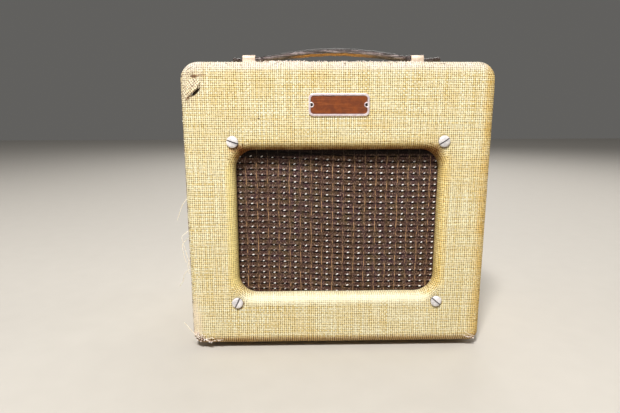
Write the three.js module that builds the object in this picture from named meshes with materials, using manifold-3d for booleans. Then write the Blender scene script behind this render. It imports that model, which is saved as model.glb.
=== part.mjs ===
// A small cloth-covered guitar amplifier: a finger-jointed pine box with one speaker behind a round-cornered
// opening, a valve chassis under its top, and a leather strap handle that slides in two metal loops.
// Millimetres, +Z up, +X to the right, +Y to the back. The origin is the middle of the floor under the part.

import * as THREE from 'three';
import { mergeVertices } from 'three/addons/utils/BufferGeometryUtils.js';
import Module from 'manifold-3d';

const wasm = await Module();
wasm.setup();

// Driving dimensions of the cabinet
const cabinetWidth = 305;
const cabinetHeight = 290;
const cabinetDepth = 190;
const footHeight = 4.8;
const boardThickness = 15;
const frontPanelThickness = 12.7;
const baffleThickness = 10;
const clothThickness = 0.8;
const topCornerRadius = 17;
const bottomCornerRadius = 11;
const edgeRound = 9;

// Opening in the front, set by the cloth left round it
const openingSideMargin = 49.5;
const openingBottomMargin = 54.2;
const openingTopMargin = 83.8;
const openingCornerRadius = 20;
const lipRound = 8;

// Fits, and one overrun for every cut
const fitGap = 0.3;
const overrun = 5;

// Numbers of steps in round shapes
const cornerSteps = 4;
const edgeSteps = 3;
const fineSides = 32;
const midSides = 16;
const smallSides = 8;

// Cabinet parts in their own sizes
const fingerCount = 7;
const clothTuck = 13;
const baffleSideMargin = 15;
const baffleMargin = 22;
const speakerHoleRadius = 66;
const grilleClothThickness = 1;
const rearPanelThickness = 6;
const rearPanelHeight = 132;
const rearPanelInset = 3;
const cleatSize = 12;
const cleatHeight = 110;

// Front screws
const frontScrewSideOffset = 1;
const frontScrewTopOffset = 8.2;
const frontScrewBottomOffset = 6.8;
const frontScrewHeadRadius = 5.5;
const frontScrewHeadHeight = 3;
const frontScrewShankRadius = 2.1;
const frontScrewReach = 6;

// Handle
const loopSpacing = 188;
const loopWidth = 14;
const loopHeight = 14.4;
const loopThickness = 1.6;
const strapWidth = 25;
const strapNeckWidth = 17;
const strapThickness = 4.8;
const strapTipHeight = 6.4;
const strapRise = 12;

// Chassis
const chassisWidth = 220;
const chassisDepth = 78;
const chassisHeight = 48;
const sheetThickness = 1.6;
const chassisInset = 24;

// Speaker
const speakerRadius = 77.5;
const speakerDepth = 68;

const materials = {
  pine: new THREE.MeshStandardMaterial({ color: 0xd9b886, roughness: 0.8, metalness: 0 }),
  ply: new THREE.MeshStandardMaterial({ color: 0xb99465, roughness: 0.8, metalness: 0 }),
  linen: new THREE.MeshStandardMaterial({ color: 0xe8d697, roughness: 0.95, metalness: 0 }),
  grille: new THREE.MeshStandardMaterial({ color: 0x574536, roughness: 0.9, metalness: 0 }),
  enamel: new THREE.MeshStandardMaterial({ color: 0x964b2d, roughness: 0.4, metalness: 0.2 }),
  nickel: new THREE.MeshStandardMaterial({ color: 0xd9d2c4, roughness: 0.3, metalness: 1 }),
  leather: new THREE.MeshStandardMaterial({ color: 0x3a2c26, roughness: 0.6, metalness: 0 }),
  steel: new THREE.MeshStandardMaterial({ color: 0xb9b9b5, roughness: 0.4, metalness: 1 }),
  bakelite: new THREE.MeshStandardMaterial({ color: 0x2a1c16, roughness: 0.4, metalness: 0 }),
  knob: new THREE.MeshStandardMaterial({ color: 0x3b2419, roughness: 0.35, metalness: 0 }),
  jewel: new THREE.MeshStandardMaterial({ color: 0xa3131a, roughness: 0.15, metalness: 0 }),
  rubber: new THREE.MeshStandardMaterial({ color: 0x1b1b1b, roughness: 0.8, metalness: 0 }),
  iron: new THREE.MeshStandardMaterial({ color: 0x4c4a48, roughness: 0.6, metalness: 0.7 }),
  glass: new THREE.MeshStandardMaterial({ color: 0x9aa0a0, roughness: 0.1, metalness: 0 }),
  paper: new THREE.MeshStandardMaterial({ color: 0x3d3a37, roughness: 0.95, metalness: 0 }),
  spider: new THREE.MeshStandardMaterial({ color: 0xb5935a, roughness: 0.95, metalness: 0 }),
  copper: new THREE.MeshStandardMaterial({ color: 0xb06a3a, roughness: 0.4, metalness: 0.8 }),
  board: new THREE.MeshStandardMaterial({ color: 0x6d5334, roughness: 0.9, metalness: 0 }),
  card: new THREE.MeshStandardMaterial({ color: 0xc9a36a, roughness: 0.9, metalness: 0 }),
};

// Sizes that follow from the driving ones
const clothLayer = clothThickness + fitGap;
const frontY = (frontScrewHeadHeight - cabinetDepth) / 2;
const panelBackY = clothLayer + frontPanelThickness;
const grilleY = panelBackY + fitGap;
const baffleY = grilleY + grilleClothThickness + fitGap;
const baffleBackY = baffleY + baffleThickness;
const boardFrontY = panelBackY + fitGap;
const boardBackY = cabinetDepth - clothLayer;
const innerHalfWidth = cabinetWidth / 2 - clothLayer - boardThickness;
const innerBottom = clothLayer + boardThickness;
const innerTop = cabinetHeight - clothLayer - boardThickness;
const outerReach = cabinetWidth + cabinetHeight + cabinetDepth;
const openingWidth = cabinetWidth - 2 * openingSideMargin;
const openingTop = cabinetHeight - openingTopMargin;
const openingHeight = openingTop - openingBottomMargin;
const openingCentreHeight = openingBottomMargin + openingHeight / 2;
const baffleWidth = openingWidth + 2 * baffleSideMargin;
const frontScrewTopHeight = openingTop + frontScrewTopOffset;
const frontScrewBottomHeight = openingBottomMargin - frontScrewBottomOffset;
const speakerCentre = openingCentreHeight;

// A closed three.js geometry as a solid that can be cut and joined
function solid(geometry) {
  const bare = geometry.clone();
  bare.deleteAttribute('normal');
  bare.deleteAttribute('uv');
  const merged = mergeVertices(bare);
  const vertProperties = new Float32Array(merged.attributes.position.array);
  const triVerts = new Uint32Array(merged.index.array);
  return new wasm.Manifold(new wasm.Mesh({ numProp: 3, vertProperties, triVerts }));
}

// A solid back as a three.js geometry
function toGeometry(body) {
  const mesh = body.getMesh();
  const geometry = new THREE.BufferGeometry();
  geometry.setAttribute('position', new THREE.BufferAttribute(new Float32Array(mesh.vertProperties), 3));
  geometry.setIndex(new THREE.BufferAttribute(new Uint32Array(mesh.triVerts), 1));
  return geometry;
}

// Box between two corners
function block(x0, x1, y0, y1, z0, z1) {
  const geometry = new THREE.BoxGeometry(x1 - x0, y1 - y0, z1 - z0);
  geometry.translate((x0 + x1) / 2, (y0 + y1) / 2, (z0 + z1) / 2);
  return solid(geometry);
}

// Round bar along Y
function barY(radius, y0, y1, x, z, sides) {
  const geometry = new THREE.CylinderGeometry(radius, radius, y1 - y0, sides);
  geometry.translate(x, (y0 + y1) / 2, z);
  return solid(geometry);
}

// Round bar along Z
function barZ(radius, z0, z1, x, y, sides) {
  const geometry = new THREE.CylinderGeometry(radius, radius, z1 - z0, sides);
  geometry.rotateX(Math.PI / 2);
  geometry.translate(x, y, (z0 + z1) / 2);
  return solid(geometry);
}

// Round bar along X
function barX(radius, x0, x1, y, z, sides) {
  const geometry = new THREE.CylinderGeometry(radius, radius, x1 - x0, sides);
  geometry.rotateZ(Math.PI / 2);
  geometry.translate((x0 + x1) / 2, y, z);
  return solid(geometry);
}

// Lathe about Y from [radius, height] points that start and end on the axis or close on themselves,
// listed either way round
function lathe(points, sides) {
  const profile = points.map(([radius, height]) => new THREE.Vector2(radius, height));
  if (THREE.ShapeUtils.area(profile) < 0) {
    profile.reverse();
  }
  return new THREE.LatheGeometry(profile, sides);
}

// Turned shape about Y
function turnedY(points, sides) {
  return solid(lathe(points, sides));
}

// Turned shape about Z
function turnedZ(points, sides) {
  return solid(lathe(points, sides).rotateX(Math.PI / 2));
}

// Upright outline, symmetrical about x = 0, with one radius at its foot and another at its head
function outline(halfWidth, bottom, top, footRadius, headRadius) {
  const shape = new THREE.Shape();
  shape.moveTo(-halfWidth + footRadius, bottom);
  shape.lineTo(halfWidth - footRadius, bottom);
  shape.absarc(halfWidth - footRadius, bottom + footRadius, footRadius, -Math.PI / 2, 0, false);
  shape.lineTo(halfWidth, top - headRadius);
  shape.absarc(halfWidth - headRadius, top - headRadius, headRadius, 0, Math.PI / 2, false);
  shape.lineTo(-halfWidth + headRadius, top);
  shape.absarc(-halfWidth + headRadius, top - headRadius, headRadius, Math.PI / 2, Math.PI, false);
  shape.lineTo(-halfWidth, bottom + footRadius);
  shape.absarc(-halfWidth + footRadius, bottom + footRadius, footRadius, Math.PI, Math.PI * 1.5, false);
  return shape;
}

// Upright shape swept from y0 to y1, with its ends rounded over by round
function slabY(shape, y0, y1, round, roundSteps) {
  const geometry = new THREE.ExtrudeGeometry(shape, {
    depth: y1 - y0 - 2 * round,
    bevelEnabled: round > 0,
    bevelSize: round,
    bevelThickness: round,
    bevelOffset: -round,
    bevelSegments: roundSteps,
    curveSegments: cornerSteps,
    steps: 1,
  });
  geometry.rotateX(Math.PI / 2);
  geometry.translate(0, y1 - round, 0);
  return solid(geometry);
}

// Outside of the cabinet, inset from the face of the cloth and cut square at the back
function envelope(inset, back) {
  const shape = outline(
    cabinetWidth / 2 - inset,
    inset,
    cabinetHeight - inset,
    bottomCornerRadius - inset,
    topCornerRadius - inset,
  );
  const round = edgeRound - inset;
  const body = slabY(shape, inset, back + 2 * edgeRound, round, edgeSteps);
  return body.subtract(block(-outerReach, outerReach, back, back + outerReach, -outerReach, outerReach));
}

// Space inside the four boards, drawn in by a margin, between two depths
function insideSpace(margin, y0, y1) {
  return block(
    -innerHalfWidth + margin,
    innerHalfWidth - margin,
    y0,
    y1,
    innerBottom + margin,
    innerTop - margin,
  );
}

// Space of the front opening down to a depth, flared at the front by the rounded lip
function openingSpace(inset, back) {
  const shape = outline(outerReach * 2, -outerReach * 2, outerReach * 2, edgeRound, edgeRound);
  const grown = openingCornerRadius + inset;
  shape.holes.push(outline(
    openingWidth / 2 + inset,
    openingCentreHeight - openingHeight / 2 - inset,
    openingCentreHeight + openingHeight / 2 + inset,
    grown,
    grown,
  ));
  const body = slabY(shape, inset, back + 2 * lipRound, lipRound - inset, edgeSteps);
  const size = cabinetWidth + cabinetHeight;
  return block(-size, size, -overrun, back, -size, size).subtract(body);
}

// Places of the four front screws
function frontScrewPlaces() {
  const half = openingWidth / 2 + frontScrewSideOffset;
  return [
    ['top_left', -half, frontScrewTopHeight],
    ['top_right', half, frontScrewTopHeight],
    ['bottom_left', -half, frontScrewBottomHeight],
    ['bottom_right', half, frontScrewBottomHeight],
  ];
}

// The same body less one hole at each front screw
function withFrontScrewHoles(body, y0, y1) {
  return frontScrewPlaces().reduce((rest, [, x, z]) => {
    return rest.subtract(barY(frontScrewShankRadius + fitGap, y0, y1, x, z, smallSides));
  }, body);
}

const group = new THREE.Group();
const cabinet = new THREE.Group();
cabinet.position.set(0, frontY, footHeight);
group.add(cabinet);

// Adds one piece to a group under its own name
function add(parent, name, body, material) {
  const mesh = new THREE.Mesh(toGeometry(body), material);
  mesh.name = name;
  parent.add(mesh);
  return mesh;
}

// Handle hardware places, shared by the loops, their screws and the holes in what lies under them
const strapLineY = cabinetDepth / 2;
const loopSideRoom = 0.5;
const loopInnerHalf = strapNeckWidth / 2 + loopSideRoom;
const loopFlange = 11;
const loopScrewRadius = 1.6;
const loopScrewHeadRadius = 3.2;
const loopScrewHeadHeight = 1.8;
const loopScrewLength = 12;
const loopScrewOffset = loopInnerHalf + loopThickness + loopFlange / 2;

function loopScrewPlaces() {
  const places = [];
  for (const [side, x] of [['left', -loopSpacing / 2], ['right', loopSpacing / 2]]) {
    places.push([`${side}_front`, x, strapLineY - loopScrewOffset]);
    places.push([`${side}_rear`, x, strapLineY + loopScrewOffset]);
  }
  return places;
}

// Crown of every small round screw head, as shares of its radius and height
const crownRadiusShare = 0.7;
const crownHeightShare = 0.8;

// Feet places
const footRadius = 10;
const footFlatRadius = 6.5;
const footNailRadius = 1.3;
const footNailLength = 11;
const footInsetX = 26;
const footInsetY = 24;

function footPlaces() {
  const x = cabinetWidth / 2 - footInsetX;
  const rearY = cabinetDepth - footInsetY;
  return [
    ['front_left', -x, footInsetY],
    ['front_right', x, footInsetY],
    ['rear_left', -x, rearY],
    ['rear_right', x, rearY],
  ];
}

// Chassis places, in cabinet coordinates
const chassisTopZ = innerTop - fitGap;
const chassisBottomZ = chassisTopZ - chassisHeight;
const chassisRearY = cabinetDepth - chassisInset;
const chassisFrontY = chassisRearY - chassisDepth;
const chassisScrewRadius = 2;
const chassisScrewHeadRadius = 4.5;
const chassisScrewHeadHeight = 2.2;
const chassisFlange = 14;
const chassisScrewRoom = 5.9;
const chassisScrewX = chassisWidth / 2 - sheetThickness - chassisFlange / 2;
const loopHalfLength = loopInnerHalf + loopThickness + loopFlange;
const chassisScrewY = strapLineY + loopHalfLength + chassisScrewHeadRadius + chassisScrewRoom;
const chassisScrewPlaces = [['left', -chassisScrewX], ['right', chassisScrewX]];

// The same body less the holes of all screws that pass down through the top
function withTopHoles(body) {
  const z0 = innerTop - overrun;
  const z1 = cabinetHeight + overrun;
  let rest = body;
  for (const [, x, y] of loopScrewPlaces()) {
    rest = rest.subtract(barZ(loopScrewRadius + fitGap, z0, z1, x, y, smallSides));
  }
  for (const [, x] of chassisScrewPlaces) {
    rest = rest.subtract(barZ(chassisScrewRadius + fitGap, z0, z1, x, chassisScrewY, smallSides));
  }
  return rest;
}

// The same body less the holes of the four foot nails
function withFootHoles(body) {
  return footPlaces().reduce((rest, [, x, y]) => {
    return rest.subtract(barZ(footNailRadius + fitGap, -overrun, footNailLength + fitGap, x, y, smallSides));
  }, body);
}

// Boards, joined at their corners by fingers that run through in turn
const fingerLength = (boardBackY - boardFrontY) / fingerCount;

function fingerSpans(parity) {
  const spans = [];
  for (let index = parity; index < fingerCount; index += 2) {
    const start = boardFrontY + index * fingerLength - fitGap / 2;
    spans.push([start, start + fingerLength + fitGap]);
  }
  return spans;
}

function boardRing() {
  const outer = envelope(clothLayer, boardBackY);
  const front = block(-outerReach, outerReach, -outerReach, boardFrontY, -outerReach, outerReach);
  return outer.subtract(front);
}

function levelBoard(z0, z1) {
  let board = boardRing().intersect(block(-outerReach, outerReach, 0, outerReach, z0, z1));
  for (const [y0, y1] of fingerSpans(1)) {
    for (const side of [-1, 1]) {
      const near = side * (innerHalfWidth - fitGap);
      const far = side * outerReach;
      const notch = block(Math.min(near, far), Math.max(near, far), y0, y1, z0 - overrun, z1 + overrun);
      board = board.subtract(notch);
    }
  }
  return board;
}

function uprightBoard(side) {
  const near = side * innerHalfWidth;
  const far = side * outerReach;
  const x0 = Math.min(near, far);
  const x1 = Math.max(near, far);
  let board = boardRing().intersect(block(x0, x1, 0, outerReach, -outerReach, outerReach));
  for (const [y0, y1] of fingerSpans(0)) {
    board = board.subtract(block(x0 - overrun, x1, y0, y1, innerTop - fitGap, outerReach));
    board = board.subtract(block(x0 - overrun, x1, y0, y1, -outerReach, innerBottom + fitGap));
  }
  return board;
}

add(cabinet, 'top_board', withTopHoles(levelBoard(innerTop, outerReach)), materials.pine);
add(cabinet, 'bottom_board', withFootHoles(levelBoard(-outerReach, innerBottom)), materials.pine);
add(cabinet, 'left_board', uprightBoard(-1), materials.pine);
add(cabinet, 'right_board', uprightBoard(1), materials.pine);

// Name plate sizes, with the pin holes that it shares with the panel and the cloth behind it
const plateWidth = 59;
const plateHeight = 21.5;
const plateTopMargin = 40.3;
const plateThickness = 0.9;
const plateCornerRadius = 3;
const plateBorder = 1.7;
const plateRelief = 0.5;
const platePinInset = 2.2;
const platePinRadius = 0.8;
const platePinLength = 8;
const plateBossRadius = 2.1;
const plateCentreHeight = cabinetHeight - plateTopMargin;
const platePinX = plateWidth / 2 - platePinInset;
const platePinPlaces = [['left', -platePinX], ['right', platePinX]];

function withPinHoles(body) {
  const radius = platePinRadius + fitGap;
  return platePinPlaces.reduce((rest, [, x]) => {
    return rest.subtract(barY(radius, -overrun, platePinLength, x, plateCentreHeight, smallSides));
  }, body);
}

// Front panel, a solid board behind the cloth with the round-cornered opening
function frontPanel() {
  const body = envelope(clothLayer, panelBackY).subtract(openingSpace(clothLayer, panelBackY + overrun));
  return withPinHoles(withFrontScrewHoles(body, -overrun, panelBackY + overrun));
}

add(cabinet, 'front_panel', frontPanel(), materials.pine);

// Linen, one skin over the front and round the boards, turned into the opening and over the back edges
function linenCover() {
  const tuckStart = cabinetDepth - clothTuck;
  const woodEnd = cabinetDepth - clothThickness;
  const openingEnd = panelBackY + overrun;
  const skin = envelope(0, cabinetDepth)
    .subtract(openingSpace(0, openingEnd))
    .subtract(insideSpace(clothLayer, panelBackY, cabinetDepth + overrun));
  const core = envelope(clothThickness, woodEnd)
    .subtract(openingSpace(clothThickness, openingEnd))
    .subtract(insideSpace(fitGap, tuckStart, woodEnd + overrun));
  const cover = withPinHoles(withFrontScrewHoles(skin.subtract(core), -overrun, panelBackY));
  return withFootHoles(withTopHoles(cover));
}

add(cabinet, 'linen_cover', linenCover(), materials.linen);

// Baffle board with the speaker hole, and the grille cloth stretched over its front
const baffleBottom = frontScrewBottomHeight - baffleMargin;
const baffleTop = frontScrewTopHeight + baffleMargin;
const baffleCornerRadius = 2;

function baffleBoard() {
  const shape = outline(baffleWidth / 2, baffleBottom, baffleTop, baffleCornerRadius, baffleCornerRadius);
  const board = slabY(shape, baffleY, baffleBackY, 0, 1);
  const hole = barY(speakerHoleRadius, baffleY - overrun, baffleBackY + overrun, 0, speakerCentre, fineSides);
  return withFrontScrewHoles(board.subtract(hole), -overrun, baffleBackY + overrun);
}

function grilleCloth() {
  const shape = outline(baffleWidth / 2, baffleBottom, baffleTop, baffleCornerRadius, baffleCornerRadius);
  const sheet = slabY(shape, grilleY, grilleY + grilleClothThickness, 0, 1);
  return withFrontScrewHoles(sheet, -overrun, baffleBackY);
}

add(cabinet, 'baffle_board', baffleBoard(), materials.ply);
add(cabinet, 'grille_cloth', grilleCloth(), materials.grille);

// Slotted round-head screws that hold the baffle from the front, each slot lying as it was left
const frontScrewSlotWidth = 1.5;
const frontScrewSlotDepth = 1.3;
const frontScrewCrownShare = 0.45;
const frontScrewSlotTurns = { top_left: 19, top_right: -33, bottom_left: -64, bottom_right: 40 };

function frontScrew(turn) {
  const crown = frontScrewHeadHeight * frontScrewCrownShare;
  const profile = [[0, -frontScrewHeadHeight]];
  for (let step = 1; step <= edgeSteps; step += 1) {
    const angle = (Math.PI / 2) * (step / edgeSteps);
    const radius = frontScrewHeadRadius * Math.sin(angle);
    profile.push([radius, -crown - (frontScrewHeadHeight - crown) * Math.cos(angle)]);
  }
  profile.push([frontScrewHeadRadius, -fitGap]);
  profile.push([frontScrewShankRadius, -fitGap]);
  profile.push([frontScrewShankRadius, baffleBackY + frontScrewReach]);
  profile.push([0, baffleBackY + frontScrewReach]);
  const half = frontScrewSlotWidth / 2;
  const reach = frontScrewHeadRadius + overrun;
  const floor = frontScrewSlotDepth - frontScrewHeadHeight;
  const slot = block(-reach, reach, -frontScrewHeadHeight - overrun, floor, -half, half).rotate([0, turn, 0]);
  return turnedY(profile, midSides).subtract(slot);
}

for (const [name, x, z] of frontScrewPlaces()) {
  const mesh = add(cabinet, `baffle_screw_${name}`, frontScrew(frontScrewSlotTurns[name]), materials.nickel);
  mesh.position.set(x, 0, z);
}

// Name plate, bare, with a raised border and a ring boss round each pin hole
function namePlate() {
  const back = -fitGap;
  const face = back - plateThickness;
  const raised = face - plateRelief;
  const halfWidth = plateWidth / 2;
  const halfHeight = plateHeight / 2;
  const border = outline(halfWidth, -halfHeight, halfHeight, plateCornerRadius, plateCornerRadius);
  const innerRadius = plateCornerRadius - plateBorder;
  const innerHeight = halfHeight - plateBorder;
  const field = outline(halfWidth - plateBorder, -innerHeight, innerHeight, innerRadius, innerRadius);
  let plate = slabY(border, raised, back, 0, 1).subtract(slabY(field, raised - overrun, face, 0, 1));
  for (const [, x] of platePinPlaces) {
    plate = plate.add(barY(plateBossRadius, raised, back - plateThickness / 2, x, 0, midSides));
    plate = plate.subtract(barY(platePinRadius + fitGap, raised - overrun, back + overrun, x, 0, smallSides));
  }
  return plate;
}

add(cabinet, 'name_plate', namePlate(), materials.enamel).position.set(0, 0, plateCentreHeight);

// Foot glides, domed metal discs on nails
function footGlide() {
  const profile = [
    [0, -footHeight],
    [footFlatRadius, -footHeight],
    [footRadius, -footHeight / 2],
    [footRadius, -fitGap],
    [footNailRadius, -fitGap],
    [footNailRadius, footNailLength],
    [0, footNailLength],
  ];
  return turnedZ(profile, midSides);
}

for (const [name, x, y] of footPlaces()) {
  add(cabinet, `foot_glide_${name}`, footGlide(), materials.nickel).position.set(x, y, 0);
}

// Lower rear panel on two cleats, closing the cabinet up to the slot under the chassis
const rearPanelBackY = cabinetDepth - rearPanelInset;
const rearPanelFrontY = rearPanelBackY - rearPanelThickness;
const rearPanelBottom = innerBottom + clothLayer + fitGap;
const rearPanelTop = rearPanelBottom + rearPanelHeight;
const rearPanelHalfWidth = innerHalfWidth - clothLayer - fitGap;
const rearPanelCornerRadius = 2;
const rearScrewRadius = 1.7;
const rearScrewHeadRadius = 3.6;
const rearScrewHeadHeight = 1.9;
const rearScrewLength = 14;
const rearScrewEnd = 18;
const rearScrewX = innerHalfWidth - cleatSize / 2 - clothLayer;
const rearPanelMiddle = (rearPanelBottom + rearPanelTop) / 2;

function rearScrewPlaces() {
  const places = [];
  for (const [side, x] of [['left', -rearScrewX], ['right', rearScrewX]]) {
    places.push([`${side}_bottom`, x, rearPanelBottom + rearScrewEnd]);
    places.push([`${side}_top`, x, rearPanelTop - rearScrewEnd]);
  }
  return places;
}

function withRearScrewHoles(body) {
  return rearScrewPlaces().reduce((rest, [, x, z]) => {
    const y0 = rearPanelBackY - rearScrewLength - fitGap;
    return rest.subtract(barY(rearScrewRadius + fitGap, y0, cabinetDepth + overrun, x, z, smallSides));
  }, body);
}

function rearPanel() {
  const shape = outline(
    rearPanelHalfWidth,
    rearPanelBottom,
    rearPanelTop,
    rearPanelCornerRadius,
    rearPanelCornerRadius,
  );
  return withRearScrewHoles(slabY(shape, rearPanelFrontY, rearPanelBackY, 0, 1));
}

function cleat(side) {
  const outer = side * (innerHalfWidth - clothLayer - fitGap);
  const inner = side * (innerHalfWidth - clothLayer - fitGap - cleatSize);
  const z0 = rearPanelMiddle - cleatHeight / 2;
  const back = rearPanelFrontY - fitGap;
  const x0 = Math.min(inner, outer);
  const x1 = Math.max(inner, outer);
  return withRearScrewHoles(block(x0, x1, back - cleatSize, back, z0, z0 + cleatHeight));
}

function rearScrew() {
  const profile = [
    [0, rearScrewHeadHeight],
    [rearScrewHeadRadius * crownRadiusShare, rearScrewHeadHeight * crownHeightShare],
    [rearScrewHeadRadius, fitGap],
    [rearScrewRadius, fitGap],
    [rearScrewRadius, -rearScrewLength],
    [0, -rearScrewLength],
  ];
  return turnedY(profile, smallSides);
}

add(cabinet, 'rear_panel', rearPanel(), materials.ply);
add(cabinet, 'rear_cleat_left', cleat(-1), materials.pine);
add(cabinet, 'rear_cleat_right', cleat(1), materials.pine);
for (const [name, x, z] of rearScrewPlaces()) {
  add(cabinet, `rear_panel_screw_${name}`, rearScrew(), materials.nickel).position.set(x, rearPanelBackY, z);
}

// Handle loops, bent strip bridges with a flange and a screw in front of and behind the strap
const loopBendRadius = 4;

function handleLoop() {
  const half = loopInnerHalf + loopThickness;
  const inner = loopBendRadius - loopThickness;
  const bendZ = loopHeight - loopBendRadius;
  const shape = new THREE.Shape();
  shape.moveTo(-loopHalfLength, 0);
  shape.lineTo(-loopInnerHalf, 0);
  shape.lineTo(-loopInnerHalf, bendZ);
  shape.absarc(-loopInnerHalf + inner, bendZ, inner, Math.PI, Math.PI / 2, true);
  shape.lineTo(loopInnerHalf - inner, loopHeight - loopThickness);
  shape.absarc(loopInnerHalf - inner, bendZ, inner, Math.PI / 2, 0, true);
  shape.lineTo(loopInnerHalf, 0);
  shape.lineTo(loopHalfLength, 0);
  shape.lineTo(loopHalfLength, loopThickness);
  shape.lineTo(half, loopThickness);
  shape.lineTo(half, bendZ);
  shape.absarc(half - loopBendRadius, bendZ, loopBendRadius, 0, Math.PI / 2, false);
  shape.lineTo(-half + loopBendRadius, loopHeight);
  shape.absarc(-half + loopBendRadius, bendZ, loopBendRadius, Math.PI / 2, Math.PI, false);
  shape.lineTo(-half, loopThickness);
  shape.lineTo(-loopHalfLength, loopThickness);
  const settings = { depth: loopWidth, bevelEnabled: false, curveSegments: edgeSteps };
  const geometry = new THREE.ExtrudeGeometry(shape, settings);
  geometry.rotateX(Math.PI / 2);
  geometry.rotateZ(Math.PI / 2);
  geometry.translate(-loopWidth / 2, 0, 0);
  let loop = solid(geometry);
  for (const side of [-1, 1]) {
    const y = side * loopScrewOffset;
    loop = loop.subtract(barZ(loopScrewRadius + fitGap, -overrun, loopThickness + overrun, 0, y, smallSides));
  }
  return loop;
}

const loopSeat = fitGap;

function loopScrew() {
  const seat = loopSeat + loopThickness + fitGap;
  const profile = [
    [0, seat + loopScrewHeadHeight],
    [loopScrewHeadRadius * crownRadiusShare, seat + loopScrewHeadHeight * crownHeightShare],
    [loopScrewHeadRadius, seat],
    [loopScrewRadius, seat],
    [loopScrewRadius, -loopScrewLength],
    [0, -loopScrewLength],
  ];
  return turnedZ(profile, smallSides);
}

for (const [name, x] of [['left', -loopSpacing / 2], ['right', loopSpacing / 2]]) {
  add(cabinet, `handle_loop_${name}`, handleLoop(), materials.nickel)
    .position.set(x, strapLineY, cabinetHeight + loopSeat);
}
for (const [name, x, y] of loopScrewPlaces()) {
  add(cabinet, `loop_screw_${name}`, loopScrew(), materials.nickel).position.set(x, y, cabinetHeight);
}

// Strap, one curved leather strip in three lengths: the grip and an end through each loop
const strapLeftTip = 111.5;
const strapRightTip = 119.5;
const strapEndStop = 7.5;
const strapNeckInner = 82;
const strapGripHalf = 60;
const strapNeckBlend = 5;
const strapPeakShare = 0.06;
const strapSteps = 36;
// Height of the strap's middle line, as [share of its half length, share of its rise]
const strapLineShares = [
  [-1, 0],
  [-0.85, 0.1],
  [-0.63, 0.37],
  [-0.31, 0.81],
  [strapPeakShare, 1],
  [0.39, 0.75],
  [0.67, 0.36],
  [0.85, 0.1],
  [1, 0],
];

// The strap's middle line from tip to tip, in the plane of its length and height
function strapLine() {
  const points = strapLineShares.map(([along, up]) => {
    const x = along < 0 ? along * strapLeftTip : along * strapRightTip;
    return new THREE.Vector2(x, strapTipHeight + strapRise * up);
  });
  return new THREE.SplineCurve(points).getSpacedPoints(strapSteps);
}

// Side view of the whole strap: its middle line thickened both ways
function strapSideView() {
  const line = strapLine();
  const upper = [];
  const lower = [];
  line.forEach((point, index) => {
    const before = line[Math.max(index - 1, 0)];
    const after = line[Math.min(index + 1, line.length - 1)];
    const along = after.clone().sub(before).normalize();
    const offset = new THREE.Vector2(-along.y, along.x).multiplyScalar(strapThickness / 2);
    upper.push(point.clone().add(offset));
    lower.push(point.clone().sub(offset));
  });
  return new THREE.Shape([...lower, ...upper.reverse()]);
}

// Plan view of the whole strap: a grip, a neck through each loop and a wider stop past it
function strapPlan() {
  const wide = strapWidth / 2;
  const neck = strapNeckWidth / 2;
  const halfPlan = [
    [-strapLeftTip, wide - strapNeckBlend],
    [-strapLeftTip + strapNeckBlend / 2, wide],
    [-strapLeftTip + strapEndStop - fitGap, wide],
    [-strapLeftTip + strapEndStop, neck],
    [-strapNeckInner, neck],
    [-strapNeckInner + strapNeckBlend, wide],
    [strapNeckInner - strapNeckBlend, wide],
    [strapNeckInner, neck],
    [strapRightTip - strapEndStop, neck],
    [strapRightTip - strapEndStop + fitGap, wide],
    [strapRightTip - strapNeckBlend / 2, wide],
    [strapRightTip, wide - strapNeckBlend],
  ];
  const near = halfPlan.map(([x, y]) => new THREE.Vector2(x, -y));
  const far = halfPlan.map(([x, y]) => new THREE.Vector2(x, y)).reverse();
  return new THREE.Shape([...near, ...far]);
}

function wholeStrap() {
  const side = slabY(strapSideView(), -strapWidth / 2, strapWidth / 2, 0, 1);
  const geometry = new THREE.ExtrudeGeometry(strapPlan(), { depth: outerReach, bevelEnabled: false });
  geometry.translate(0, 0, -outerReach / 2);
  return side.intersect(solid(geometry));
}

function strapPart(x0, x1) {
  return wholeStrap().intersect(block(x0, x1, -strapWidth, strapWidth, -outerReach, outerReach));
}

const strap = new THREE.Group();
strap.position.set(0, strapLineY, cabinetHeight);
cabinet.add(strap);
add(strap, 'strap_middle', strapPart(-strapGripHalf, strapGripHalf), materials.leather);
add(strap, 'strap_side_left', strapPart(-outerReach, -strapGripHalf - fitGap), materials.leather);
add(strap, 'strap_side_right', strapPart(strapGripHalf + fitGap, outerReach), materials.leather);

// Control face fittings, as places along the chassis seen from the front
const jackSpacing = 27;
const jackX = 78;
const knobX = 8;
const lampX = -34;
const grommetX = -84;
const controlZ = (chassisTopZ + chassisBottomZ) / 2;
const jackPlaces = [['1', jackX], ['2', jackX - jackSpacing]];
const jackBushRadius = 4.7;
const potBushRadius = 4.6;
const lampBushRadius = 7.6;
const grommetBushRadius = 6.8;

// Tubes and their sockets, as places along the chassis
const tubeSpacing = 38;
const tubeCentreX = 9;
const socketBodyRadius = 13;
const socketFlangeRadius = 16;
const socketKeyRadius = 4.2;
const tubeY = (chassisFrontY + chassisRearY) / 2;
const tubePlaces = [
  ['rectifier', tubeCentreX - tubeSpacing],
  ['power', tubeCentreX],
  ['preamp', tubeCentreX + tubeSpacing],
];

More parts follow.
